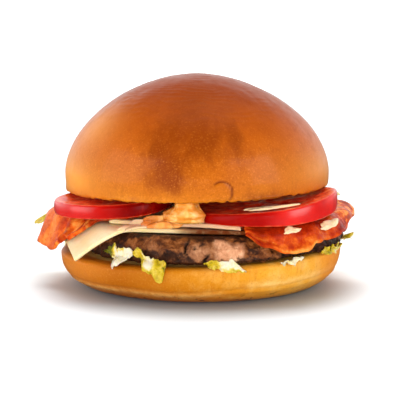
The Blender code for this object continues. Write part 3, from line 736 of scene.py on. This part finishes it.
def crown_rows(angle):
    """Rings of the top bun, from the middle of its underside to its top, with their crumb."""
    dx, dy = cos(angle), sin(angle)
    edge = CROWN_EDGE + CROWN_LEAN * (CROWN_X + CROWN_RADIUS * dx)
    inner = crown_radius(angle, edge) - CROWN_LIP
    rows = []
    for share in (0.1, 0.3, 0.5, 0.65, 0.8, 0.86, 0.9, 0.93, 0.96, 0.98, 1):
        r = inner * share
        low = crown_under(CROWN_X + r * dx, r * dy)
        rows.append((ring(angle, r, low, CROWN_X), 1 if share < 0.99 else 0.3))
    start = edge + CROWN_LIP
    for turn in radians(np.linspace(0, 90, 10)[1:]):
        height = low + (start - low) * (1 - cos(turn))
        r = inner + (crown_radius(angle, height) - inner) * sin(turn)
        rows.append((ring(angle, r, height, CROWN_X), 0))
    side = [start + (CROWN_WAIST - start) * share for share in np.linspace(0, 1, 10)[1:]]
    dome = [CROWN_WAIST + (CROWN_TOP - CROWN_WAIST) * sin(turn) ** 1.05
            for turn in radians(np.linspace(0, 89, 120)[1:])]
    for height in side + dome:
        rows.append((ring(angle, crown_radius(angle, height), height, CROWN_X), 0))
    return rows


def make_crown(look):
    points, quads, crumb = wrapped(crown_rows(turns(CROWN_TURNS)))
    normal = vertex_normals(points, quads)
    x, y, z = points.T
    turned = degrees(arctan2(y, x - CROWN_X)) % 360
    crust = ease(z, 39.6, 2.4)
    shoulder = ease(z, 66, 9) * ease(z, 87.2, -1.5)
    fold = hypot(x - CROWN_X, y) * 2.7 + 5.5 * lumps(points, 12, 3) + 3.2 * lumps(points, 4.5, 9)
    fold = 0.085 * sin(fold) * smooth(lumps(points, 10, 4) + 0.45)
    front = y < 0
    spot = hypot(x - MARK_X, z - MARK_Z)
    arc = bell(spot, MARK_RADIUS, 0.42) * smooth((x - MARK_X + z - MARK_Z) / 4 + 0.6) * front
    rise = (0.28 * lumps(points, 24, 1) + 0.12 * lumps(points, 8, 2) - 0.3
            - 0.3 * bell(turned, 287, 6) * bell(z, 52, 11)
            + shoulder * (fold + 0.07 * lumps(points, 3.2, 10))
            + 0.2 * ease(spot, MARK_RADIUS - 0.2, -0.6) * front - 0.3 * arc)
    ragged = bell(z, 39.6 + CROWN_LEAN * x, 1.1)
    rise = rise * crust + minimum(0.6 * rough_noise(points, 2, 7) - 0.24, 0.05) * ragged
    points = points + normal * rise[:, None]
    points[:, 2] = minimum(points[:, 2], CROWN_TOP - INSET)
    # Toasted patches, and painted shade that darkens the front middle.
    toast = 0
    for where, wide, height, tall, much in TOAST_AND_SHADE:
        off = (turned - where + 180) % 360 - 180
        toast = toast + much * bell(off, 0, wide) * bell(z, height, tall)
    under = ease(z, 41.5, -1.6) * ease(x, 8, 10) * ease(x, 46, -8)
    mark = arc + 0.6 * under * smooth(lumps(points, 3, 8) + 0.6) * front
    # pale is a painted highlight: lighter bands on the left and right sides and on the left
    # shoulder.
    pale = (bell(z, 47, 9) * (bell(turned, 190, 30) + 0.7 * bell((turned + 180) % 360, 160, 26))
            + 0.6 * bell(z, 66, 8) * bell(turned, 206, 18)
            + 0.7 * bell(z, 44, 4) * bell(turned, 205, 16))
    piece("crown_crust", points, quads, look, "bun_crust", "bun_crown",
          crumb=crumb, toast=toast, mark=unit(mark), pale=np.clip(pale, 0, 1.2))


# Filling

def patty_under(x, share):
    return heel_top(x) + PATTY_LIFT - PATTY_SAG * ease(share, 0.93, 0.04)


def patty_rows(angle):
    """Rings of the patty, from the middle of its underside to that of its top."""
    dx, dy = cos(angle), sin(angle)
    rows = []
    for (s0, l0), (s1, l1) in zip(PATTY_PATH, PATTY_PATH[1:]):
        steps = 9 if min(s0, s1) > 0.85 else 4
        for k in range(steps):
            share, level = s0 + (s1 - s0) * k / steps, l0 + (l1 - l0) * k / steps
            rough = smooth(1 - abs(level - 0.45) / 0.5) * ease(share, 0.88, 0.08)
            around = xyz(dx * PATTY_RADIUS, dy * PATTY_RADIUS, level * PATTY_TALL) / CRAG_SIZE
            crag = np.array([noise.noise(Vector(place)) for place in around])
            r = PATTY_RADIUS * share + PATTY_CRAG * rough * crag
            x, y = PATTY_X + r * dx, PATTY_Y + r * dy
            low = patty_under(x, share)
            rows.append((xyz(x, y, low + (PATTY_TOP - low) * level), (share, level)))
    return rows


def make_patty(look):
    points, quads, values = wrapped(patty_rows(turns(PATTY_TURNS)))
    share, level = values.T
    normal = vertex_normals(points, quads)
    turned = degrees(arctan2(points[:, 1], points[:, 0] - PATTY_X))
    outer = ease(share, 0.9, 0.06)
    jag = 1.3 * rough_noise(points * (0.3, 0.3, 1), 2.6, 17) - 4.6 * (level - 0.66)
    crack = 0
    for where, wide, low, high, deep in CRACKS:
        inside = ease(level, low, 0.12) * ease(level, high, -0.12)
        crack = maximum(crack, deep * bell(turned + jag, where, wide) * inside)
    web = unit(1 - np.abs(rough_noise(points * (1, 1, 0.6), 7, 23)) * 11)
    crack = maximum(crack, 0.75 * web * smooth(lumps(points, 11, 31) + 0.2)) * outer
    strip = bell(turned, -38, 20)
    large = lumps(points, 6.5, 13)
    coarse = (0.3 + 0.5 * strip) * rough_noise(points, 2.4, 11, 4)
    rise = (0.45 * large + coarse - 0.35 - 1.1 * crack) * outer
    points = points + normal * np.clip(rise, -1.6, 0.25)[:, None]

    left = ease(turned, -97.5, -8) * ease(turned, -150, 10)
    behind = ease(turned, 12, 24) * ease(turned, 176, -24)
    # Char patches; painted shade along the bottom edge, painted shadow of the cheese along the top
    # edge, and darker over the lower left end.
    char = (strip + 0.75 * bell(level, 1, 0.13) + 0.95 * bell(level, 0, 0.25 + 0.05 * left)
            + 0.7 * bell(turned, -135, 9) + 0.3 * bell(turned, 0, 22) - 0.3 * large
            + 0.5 * bell(turned, -73.5, 3.4) * ease(level, 0.25, 0.3)
            + 0.5 * bell(turned, -93, 6) * ease(level, 0.66, 0.16)
            + 0.85 * left * ease(level, 0.74, -0.34)
            + 0.5 * behind * smooth(lumps(points, 16, 41) + 0.4))
    pink = ease(turned - 2 * large, -76.6, -2.4) * ease(turned + 3 * large, -90.6, 5)
    pink = (1.1 * pink * ease(level - 0.1 * large, 0.94, -0.2)
            + 0.4 * bell(turned, -96, 5) * bell(level, 0.5, 0.3) + 0.1 * bell(turned, -115, 5))
    piece("patty_meat", points, quads, look, "beef", "patty",
          char=np.clip(char, 0, 1.3), pink=unit(pink), crack=unit(crack))


def drape(angle, radius, shelf, edge, hang, lift):
    """Points of a sheet laid flat at the height shelf and folded down past the radius edge."""
    out = maximum(radius - edge, 0)
    turn = minimum(out / FOLD_BEND, hang)
    straight = maximum(out - FOLD_BEND * hang, 0)
    reach = FOLD_BEND * sin(turn) + straight * cos(hang)
    drop = FOLD_BEND * (1 - cos(turn)) + straight * sin(hang)
    r = minimum(radius, edge) + reach + lift * sin(turn)
    return ring(angle, r, shelf - drop + lift * cos(turn), PATTY_X)


def on_patty(x, y, lift):
    """Points of a slice that lies on the patty and folds down past its rim."""
    angle = arctan2(y, x - PATTY_X)
    hang = radians(along(degrees(angle) % 360, FOLD_HANG))
    return drape(angle, hypot(x - PATTY_X, y), PATTY_TOP, FOLD_RADIUS, hang, lift)


def cheese_sheet(item, u, v, lift):
    quad, base = item
    corners = [np.array(c)[:, None, None] for c in quad[:4]]
    front = corners[0] * (1 - u) + corners[1] * u
    back = corners[3] * (1 - u) + corners[2] * u
    x, y = front * (1 - v) + back * v
    y = y + quad.wave * sin(TURN * u) * (1 - v) ** 2
    x = x - quad.bow * sin(pi * v) * (1 - u) ** 2
    return on_patty(x, y, base + lift)


def make_cheese(name, quad, base, look):
    points, quads, u, w = sheet(cheese_sheet, (quad, base), CHEESE_SIZE, CHEESE_THICK, 1.1)
    # brown is painted shade over the front right of the lower slice.
    front = ease(points[:, 1], -32, -6)
    upper = name == "cheese_upper"
    # tan is painted shade over the front of the upper slice, under the tomatoes.
    piece(name.replace("cheese", "slice"), points, quads, look, "cheese", name,
          rim=ease(from_border(u, w, CHEESE_SIZE), 1.6, -1.6), tan=0.95 * front * upper,
          brown=front * ease(points[:, 0], -15, 14) * (not upper))


def rasher_sheet(rasher, u, w, lift):
    angle = radians(rasher.start + (rasher.end - rasher.start) * u)
    edge, inner = along(u, rasher.edge), along(u, rasher.inner)
    radius = inner + (edge + along(u, rasher.reach) - inner) * w
    torn = lumps(xyz(u * 40, 0, rasher.start), 1.5, 91)
    radius = radius + 0.7 * torn * ease(w, 0.85, 0.15) * ease(minimum(u, 1 - u), 0, 0.05)
    hang = radians(along(u, rasher.hang))
    out = ease(radius, edge - 4, 9)
    wave = 0.5 + 0.5 * sin(TURN * (rasher.waves * u + 0.6 * w))
    raised = ease(radius, inner, edge - inner) * (along(u, rasher.rim) - rasher.shelf)
    lift = lift + rasher.ripple * out * wave
    return drape(angle, radius, rasher.shelf + raised, edge, hang, lift)


def make_bacon(name, rasher, look, seed):
    left = name == "bacon_left"

    def relief(u, w):
        at = xyz(u * 60, w * 34, 5)
        out = ease(w, 0.55, 0.2)
        rise = 0.5 * maximum(rough_noise(at, 4.2, seed), -0.5) * out + 0.1 * out
        if left:
            crease = 0.53 - 0.1 * w
            rise = rise + (1.1 * bell(u, crease, 0.03) - 0.5 * bell(u, crease + 0.05, 0.02)) * out
        curl = 0.9 if left else 0.5
        return rise + curl * ease(w, 0.9, 0.1) * smooth(lumps(at, 9, seed + 9) + 0.5)

    points, quads, u, w = sheet(rasher_sheet, rasher, BACON_SIZE, BACON_THICK, 0.5, relief)
    at = xyz(u * 60, w * 34, 0)
    wander = lumps(at, 12, seed + 3) + 0.4 * lumps(at, 4, seed + 4)
    if left:
        band = 0.5 + 0.5 * sin(TURN * (u * 5 + 0.35 * wander))
        fibre = lumps(xyz(u * 60 - w * 14, w * 9, 0), 1.3, seed + 7)
        fat = 0.46 + 0.3 * band + 0.3 * fibre
        pale = 0.8 * ease(w, 0.5, 0.15) * ease(u, 0.5, 0.08)
        # shaded is painted shadow of the tomato above, added to brown.
        shaded = bell(points[:, 2], 30, 3.2) * ease(points[:, 0], -52, 4)
        brown = 0.5 * bell(u, 0.53 - 0.1 * w, 0.02) + 0.35 * ease(u, 0.3, -0.1) + 0.45 * shaded
    else:
        band = 0.5 + 0.5 * sin(TURN * (w * 2.6 + 0.32 * wander + 0.1))
        edge = ease(w, 0.93, 0.06)
        end = ease(u, 0.6, 0.12)
        fat = 0.12 + 0.42 * band + 0.5 * edge * bell(u, 0.24, 0.12) + 0.2 * edge
        fat = fat + end * (0.2 + 0.9 * lumps(at * (1, 1.6, 1), 1.6, seed + 8))
        pale = 0.35 * end
        dark = smooth(lumps(at, 8, seed + 6) + 0.2) * ease(u, 0.2, 0.25) * (1 - 0.4 * end)
        brown = unit(0.7 * dark + 0.5 * bell(u, 0.06, 0.05))
    piece(name.replace("bacon", "rasher"), points, quads, look, "bacon", name,
          fat=fat, pale=pale, brown=brown)


def slice_under(tomato, dx, dy):
    curl = tomato.curl * maximum(dx - tomato.flat, 0) ** 2
    return tomato.under + tomato.roll * dx + tomato.pitch * dy + curl


def slice_point(tomato, angle, radius, level):
    dx, dy = radius * cos(angle), radius * sin(angle)
    thick = tomato.thick + tomato.taper * dx
    return xyz(tomato.x + dx, tomato.y + dy, slice_under(tomato, dx, dy) + thick * level)


def make_tomato(name, tomato, look):
    angle = turns(TOMATO_TURNS)
    full = tomato.radius + uneven(angle, 0.35, tomato.x)
    path = [(full * share, 0, 0) for share in (0.1, 0.3, 0.5, 0.65, 0.8, 0.9, 0.95)]
    path += [(full - inset, level, 1 if 0.08 < level < 0.95 else 0.35) for inset, level in RIND]
    path += [(full * share, 1, 0) for share in np.linspace(0.95, 0.04, 26)]
    rows = [(slice_point(tomato, angle, radius, level), skin) for radius, level, skin in path]
    points, quads, skin = wrapped(rows)
    dx, dy = points[:, 0] - tomato.x, points[:, 1] - tomato.y
    away = hypot(dx, dy) / tomato.radius
    turned = arctan2(dy, dx)
    ribs = sin(5 * turned + 1.3) * ease(away, 0.8, -0.2) * ease(away, 0, 0.2)
    top = points[:, 2] > slice_under(tomato, dx, dy) + tomato.thick * 0.6
    dent = (0.35 * ribs + 0.25 * rough_noise(points, 3, 51) - 0.45) * ease(away, 0.93, -0.08)
    points[:, 2] += minimum(dent, 0) * top
    way = degrees(turned)
    # dim is painted shade on the skin: towards the right of the left slice, on the left of the
    # right slice, and behind.
    wet, dim = 0.6, 0.25
    if name == "tomato_left":
        right = ease(way, 20, -40)
        dim = ease(way, -128, 62) * right
        wet = 1 - 0.95 * ease(way, -120, 24) * right
        wet = wet - 0.75 * ease(np.abs(way + 20), 132, 20)
    elif name == "tomato_right":
        behind = ease(np.abs(way + 30), 110, 40)
        dim = 0.7 * ease(way, -68, -30) * (1 - behind) + 0.25 * behind
        wet = ease(way, -93, 14) * (0.3 + 0.7 * bell(way, -69, 17)) + 0.5 * behind
    wet = unit(0.04 + wet * skin + 0.5 * (1 - skin))
    piece(name.replace("tomato", "slice_of_tomato"), points, quads, look, "tomato", name,
          skin=skin, dim=dim, wet=wet)


# Lettuce

def heel_reach(angle, height):
    """Radius of the bottom bun's side at a height."""
    reach = heel_radius(angle)
    rim = heel_top(reach * cos(angle)) - HEEL_LIP
    cosine = unit(1 - height / rim) ** (1 / SIDE_POWER)
    return HEEL_FOOT + (reach - HEEL_FOOT) * (1 - cosine**2) ** (FOOT_POWER / 2)


def stack_reach(angle, above):
    """How far a leaf stands out that hangs over the bun's rim and leans on the patty."""
    rim = heel_top(HEEL_RADIUS * cos(angle))
    shift = PATTY_X * cos(angle) + PATTY_Y * sin(angle)
    across = PATTY_X * sin(angle) - PATTY_Y * cos(angle)
    patty = shift + np.sqrt((PATTY_RADIUS + 0.8) ** 2 - across**2)
    low = heel_reach(angle, rim + above)
    return low + (patty - low) * ease(above, 0.3, RIM_BEND) + GAP


def leaf_sheet(leaf, u, v, lift):
    """A point u along the leaf and v up it, lift off its inner face."""
    length = (leaf.end - leaf.start) * u
    angle = radians(leaf.start + length)
    frayed = ease(minimum(u, 1 - u), 0, 0.06)
    low, high = xyz(length + leaf.start, leaf.start, leaf.start), xyz(length, 0, 0) + leaf.end
    torn = 0.5 * lumps(low, 1, 81) + 0.8 * lumps(low, 2.4, 85)
    bottom = along(u, leaf.bottom) + frayed * (torn + 0.8 * ease(lumps(low, 2.1, 93), 0.2, 0.2))
    torn = 0.5 * lumps(high, 1.1, 82) + 0.8 * lumps(high, 2.2, 87)
    top = along(u, leaf.top) + frayed * (torn - 0.9 * ease(lumps(high, 1.6, 88), 0.25, 0.15))
    above = bottom + maximum(top - bottom, LEAF_LEAST) * v
    slope = (stack_reach(angle, above + 0.1) - stack_reach(angle, above - 0.1)) / 0.2
    steep = np.sqrt(1 + slope**2)
    wave = 0.5 + 0.5 * sin(TURN * leaf.waves * u + 2.4 * v)
    crinkle = 0.45 * maximum(lumps(xyz(length, 2 * v + leaf.start, 0), 1.7, 83) + 0.2, 0)
    off = lift + leaf.ruffle * wave * (0.3 + 0.7 * np.abs(2 * v - 1)) + crinkle
    z = heel_top(HEEL_RADIUS * cos(angle)) + above - off * slope / steep
    return ring(angle, stack_reach(angle, above) + off / steep + leaf.flare * v * v, z)


def leaf_tint(name, u, v):
    """0 where the leaf is white and 1 where it is dark green."""
    if name == "lettuce_front_left":
        return 1.1 * ease(u, 0.46, -0.16) + 0.45 * ease(v, 0.75, 0.15) * ease(u, 0.9, -0.2)
    if name == "lettuce_front_near":
        return 0.66 - 0.64 * bell(u, 0.5, 0.17) * ease(v, 0.1, 0.2)
    if name == "lettuce_front_mid":
        low = ease(v, 0.45, -0.25) * (0.35 + 0.3 * ease(u, 0.5, 0.2))
        return maximum(low, 0.64 * ease(u, 0.42, -0.14))
    if name == "lettuce_front_right":
        return 0.1 - 0.1 * u
    if name in ("lettuce_right", "lettuce_side", "lettuce_sprig"):
        return 0.5 + 0.2 * sin(7 * u)
    return 0.5 + 0.35 * sin(5 * u + 1) * cos(4 * v)


def make_leaf(name, place, item, size, look):
    points, quads, u, w = sheet(place, item, size, LEAF_THICK, 0.4)
    piece(name.replace("lettuce", "leaf"), points, quads, look, "lettuce", name,
          tint=leaf_tint(name, u, w))


# Sauce

def pushed_out(x, y, tomato):
    dx, dy = x - tomato.x, y - tomato.y
    away = hypot(dx, dy)
    grow = maximum((tomato.radius + 0.5 + GAP) / maximum(away, MM), 1)
    return tomato.x + dx * grow, tomato.y + dy * grow


def make_sauce_drip(look):
    angle = turns(DRIP_TURNS)
    rows = []
    for level in np.linspace(0, 1, 44):
        side = np.where(cos(angle) < 0, along(level, DRIP_LEFT), along(level, DRIP_RIGHT))
        full = 1 - 0.25 * max(0, (level - 0.96) / 0.04) - 0.06 * max(0, (0.04 - level) / 0.04)
        x = DRIP_X + side * full * cos(angle)
        y = DRIP_Y + along(level, DRIP_DEEP) * full * sin(angle)
        for name in ("tomato_left", "tomato_right"):
            x, y = pushed_out(x, y, TOMATOES[name])
        top = crown_under(x, y) - GAP
        rows.append((xyz(x, y, DRIP_LOW + (top - DRIP_LOW) * level), 0))
    points, quads, _ = wrapped(rows)
    normal = vertex_normals(points, quads)
    z = points[:, 2]
    folds = sin(z * 1.5 + 1.6 * lumps(points, 6, 63))
    rise = 0.8 * lumps(points, 5.6, 61) + 0.15 * lumps(points, 2.2, 62) + 0.3 * folds - 0.35
    points = points + normal * (rise * ease(z, 31, 1.2) * ease(z, 40, -1.5))[:, None]
    rich = ease(points[:, 0], -1.2, 3) + 0.6 * ease(points[:, 0], -11, -3)
    piece("sauce_blob", points, quads, look, "sauce", "sauce_drip", rich=rich)


def on_tomato(a, b, lift):
    tomato = TOMATOES["tomato_right"]
    return slice_point(tomato, arctan2(b, a), hypot(a, b), 1) + xyz(0, 0, lift)


def on_bacon(a, b, lift):
    return rasher_sheet(RASHERS["bacon_right"], a, b, BACON_THICK + lift)


def on_cheese(a, b, lift):
    """Over both slices: the sauce runs down from the upper one to the lower."""
    quad = CHEESES["cheese_upper"]
    (x0, y0), (x1, y1) = quad.front_left, quad.front_right
    part = (a - x0) / (x1 - x0)
    inside = b - y0 - (y1 - y0) * part - quad.wave * sin(TURN * part)
    low, high = CHEESE_LIFTS
    return on_patty(a, b, low + (high - low) * ease(inside, -1.5, 1.5) + CHEESE_THICK + lift)


def make_pool(name, place, patch, look, node):
    """A small pool of sauce, lying on the piece whose surface place gives."""
    angle = turns(POOL_TURNS)
    turned = (degrees(angle) + 180) % 360 - 180
    form = 1 + 0.12 * sin(3 * angle + 0.8) + patch.tail * bell(turned, 0, 18)
    form = form + 0.05 * sin(7 * angle + patch.across) + 0.03 * sin(13 * angle)
    low, high = radians((20, 45, 70, 90)), radians((15, 30, 45, 60, 75, 90))
    profile = [(share, 0) for share in (0.1, 0.4, 0.7, 0.92)]
    profile += [(0.92 + 0.08 * sin(t), POOL_BULGE * (1 - cos(t))) for t in low]
    profile += [(0.5 + 0.5 * cos(t), POOL_BULGE + 0.7 * sin(t)) for t in high]
    profile += [(0.4, 1.02), (0.3, 1.03), (0.2, 1.04), (0.1, 1.05)]
    rows = []
    for share, level in profile:
        a = patch.across + patch.wide * share * form * cos(angle)
        b = patch.along + patch.deep * share * form * sin(angle)
        dent = 0.18 * sin(4 * angle + 2) * share
        rows.append((place(a, b, GAP + patch.thick * level * (0.75 + dent)), 0))
    points, quads, _ = wrapped(rows)
    full = patch.thick > 2
    rich = 0.8 * full * ease(points[:, 0], -14.5, -5)
    # thin marks the thin pools, painted lighter as painted light where they lie in shade.
    piece(name, points, quads, look, "sauce", node, thin=0.1 if full else 1, rich=rich)


# Stage

def add_panel(name, azimuth, elevation, distance, size, power, gloss):
    """A soft light, azimuth degrees to the right of the shown side."""
    data = bpy.data.lights.new(name, "AREA")
    data.shape = "RECTANGLE"
    data.size, data.size_y = size
    data.energy = power
    made = add_object(name, data)
    a, e = radians(azimuth), radians(elevation)
    out = Vector((sin(a) * cos(e), -cos(a) * cos(e), sin(e)))
    made.location = Vector(AIM) + out * distance
    made.rotation_mode = "QUATERNION"
    made.rotation_quaternion = (Vector(AIM) - made.location).to_track_quat("-Z", "Y")
    made.visible_glossy = gloss
    made.visible_camera = False


def make_floor():
    mesh = bpy.data.meshes.new("floor")
    corners = [(x * FLOOR_HALF, y * FLOOR_HALF, 0) for x, y in ((-1, -1), (1, -1), (1, 1), (-1, 1))]
    mesh.from_pydata(corners, [], [(0, 1, 2, 3)])
    look = Look("pale_floor", Roughness=0.9)
    away = look.node("VectorMath", look.place, (0, -12, 0), operation="DISTANCE").outputs["Value"]
    # Painted shadow: the floor is darker near the burger and lightens outwards.
    shade = look.plus(look.span(away, 38, 72), look.times(look.noise(400, 2, 0.5), 0.02))
    colour = look.ramp(shade, (0, (154, 163, 168)), (1, (248, 253, 255)))
    look.fill(look.shader, Base_Color=colour)
    mesh.materials.append(look.made)
    floor = add_object("floor", mesh)
    floor.visible_glossy = False


def make_sky():
    """Light all round, brighter at the back where the pieces mirror it, and white to the camera."""
    world = bpy.data.worlds.new("studio")
    sky = Nodes(world)
    axes = sky.node("SeparateXYZ", sky.node("TexCoord").outputs["Generated"]).outputs
    back = sky.times(sky.span(axes[1], -0.1, 0.5), sky.span(axes[2], 0.8, 0.35))
    back = sky.times(back, sky.span(axes[2], -0.15, 0.05))
    seen = sky.node("LightPath").outputs["Is Camera Ray"]
    strength = sky.plus(sky.plus(sky.times(back, 1.1), 0.1), seen)
    sky.fill(sky.tree.nodes["Background"].inputs, Color=(1, 1, 1, 1), Strength=strength)
    bpy.context.scene.world = world


def make_camera():
    data = bpy.data.cameras.new("camera")
    data.lens = EYE_LENS
    data.clip_start, data.clip_end = 0.01, 50
    eye = add_object("camera", data)
    eye.location = EYE
    eye.rotation_euler = (radians(90 - EYE_DOWN), 0, 0)
    bpy.context.scene.camera = eye
    view = bpy.context.scene.view_settings
    view.view_transform = "Standard"
    view.look = "None"


def main():
    make_floor()
    make_sky()
    add_panel("left_panel", -64, 17, 3, (3, 2.3), 38, True)
    add_panel("right_panel", 58, 17, 3, (1.8, 2.3), 36, True)
    add_panel("top_panel", 180, 69, 3, (2.4, 2.4), 96, False)
    add_panel("front_panel", -6, 6, 2, (1.4, 0.5), 30, False)
    make_camera()
    make_heel(heel_look())
    make_crown(crown_look())
    make_patty(beef_look())
    cheese = cheese_look()
    for (name, quad), base in zip(CHEESES.items(), CHEESE_LIFTS):
        make_cheese(name, quad, base, cheese)
    bacon, lettuce = bacon_look(), lettuce_look()
    for k, (name, rasher) in enumerate(RASHERS.items()):
        if name.startswith("bacon"):
            make_bacon(name, rasher, bacon, 70 + 5 * k)
        else:
            make_leaf(name, rasher_sheet, rasher, FLAT_LEAF_SIZE, lettuce)
    tomato = tomato_look()
    for name, item in TOMATOES.items():
        make_tomato(name, item, tomato)
    for name, leaf in LEAVES.items():
        make_leaf(name, leaf_sheet, leaf, (abs(leaf.end - leaf.start), LEAF_HIGH), lettuce)
    sauce = sauce_look()
    make_sauce_drip(sauce)
    for name, place, patch, node in (
        ("pool_on_tomato", on_tomato, Patch(0, -22.2, 8, 3, 0.6, 1.1), "sauce_on_tomato"),
        ("pool_on_bacon", on_bacon, Patch(0.475, 0.835, 0.08, 0.045, 0, 1.1), "sauce_on_bacon"),
        ("pool_low_on_bacon", on_bacon, Patch(0.225, 0.73, 0.05, 0.03, 0, 1.1),
         "sauce_low_on_bacon"),
        ("pool_on_cheese", on_cheese, Patch(-20.5, -39.5, 11, 3.3, 0, 1), None),
        ("pool_beside_drip", on_cheese, Patch(-14.2, -40.6, 9.2, 4.2, 0, 3.3), None),
    ):
        make_pool(name, place, patch, sauce, node)
    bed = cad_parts["lettuce_bed"]
    bed.data.materials.clear()
    bed.data.materials.append(lettuce)


main()
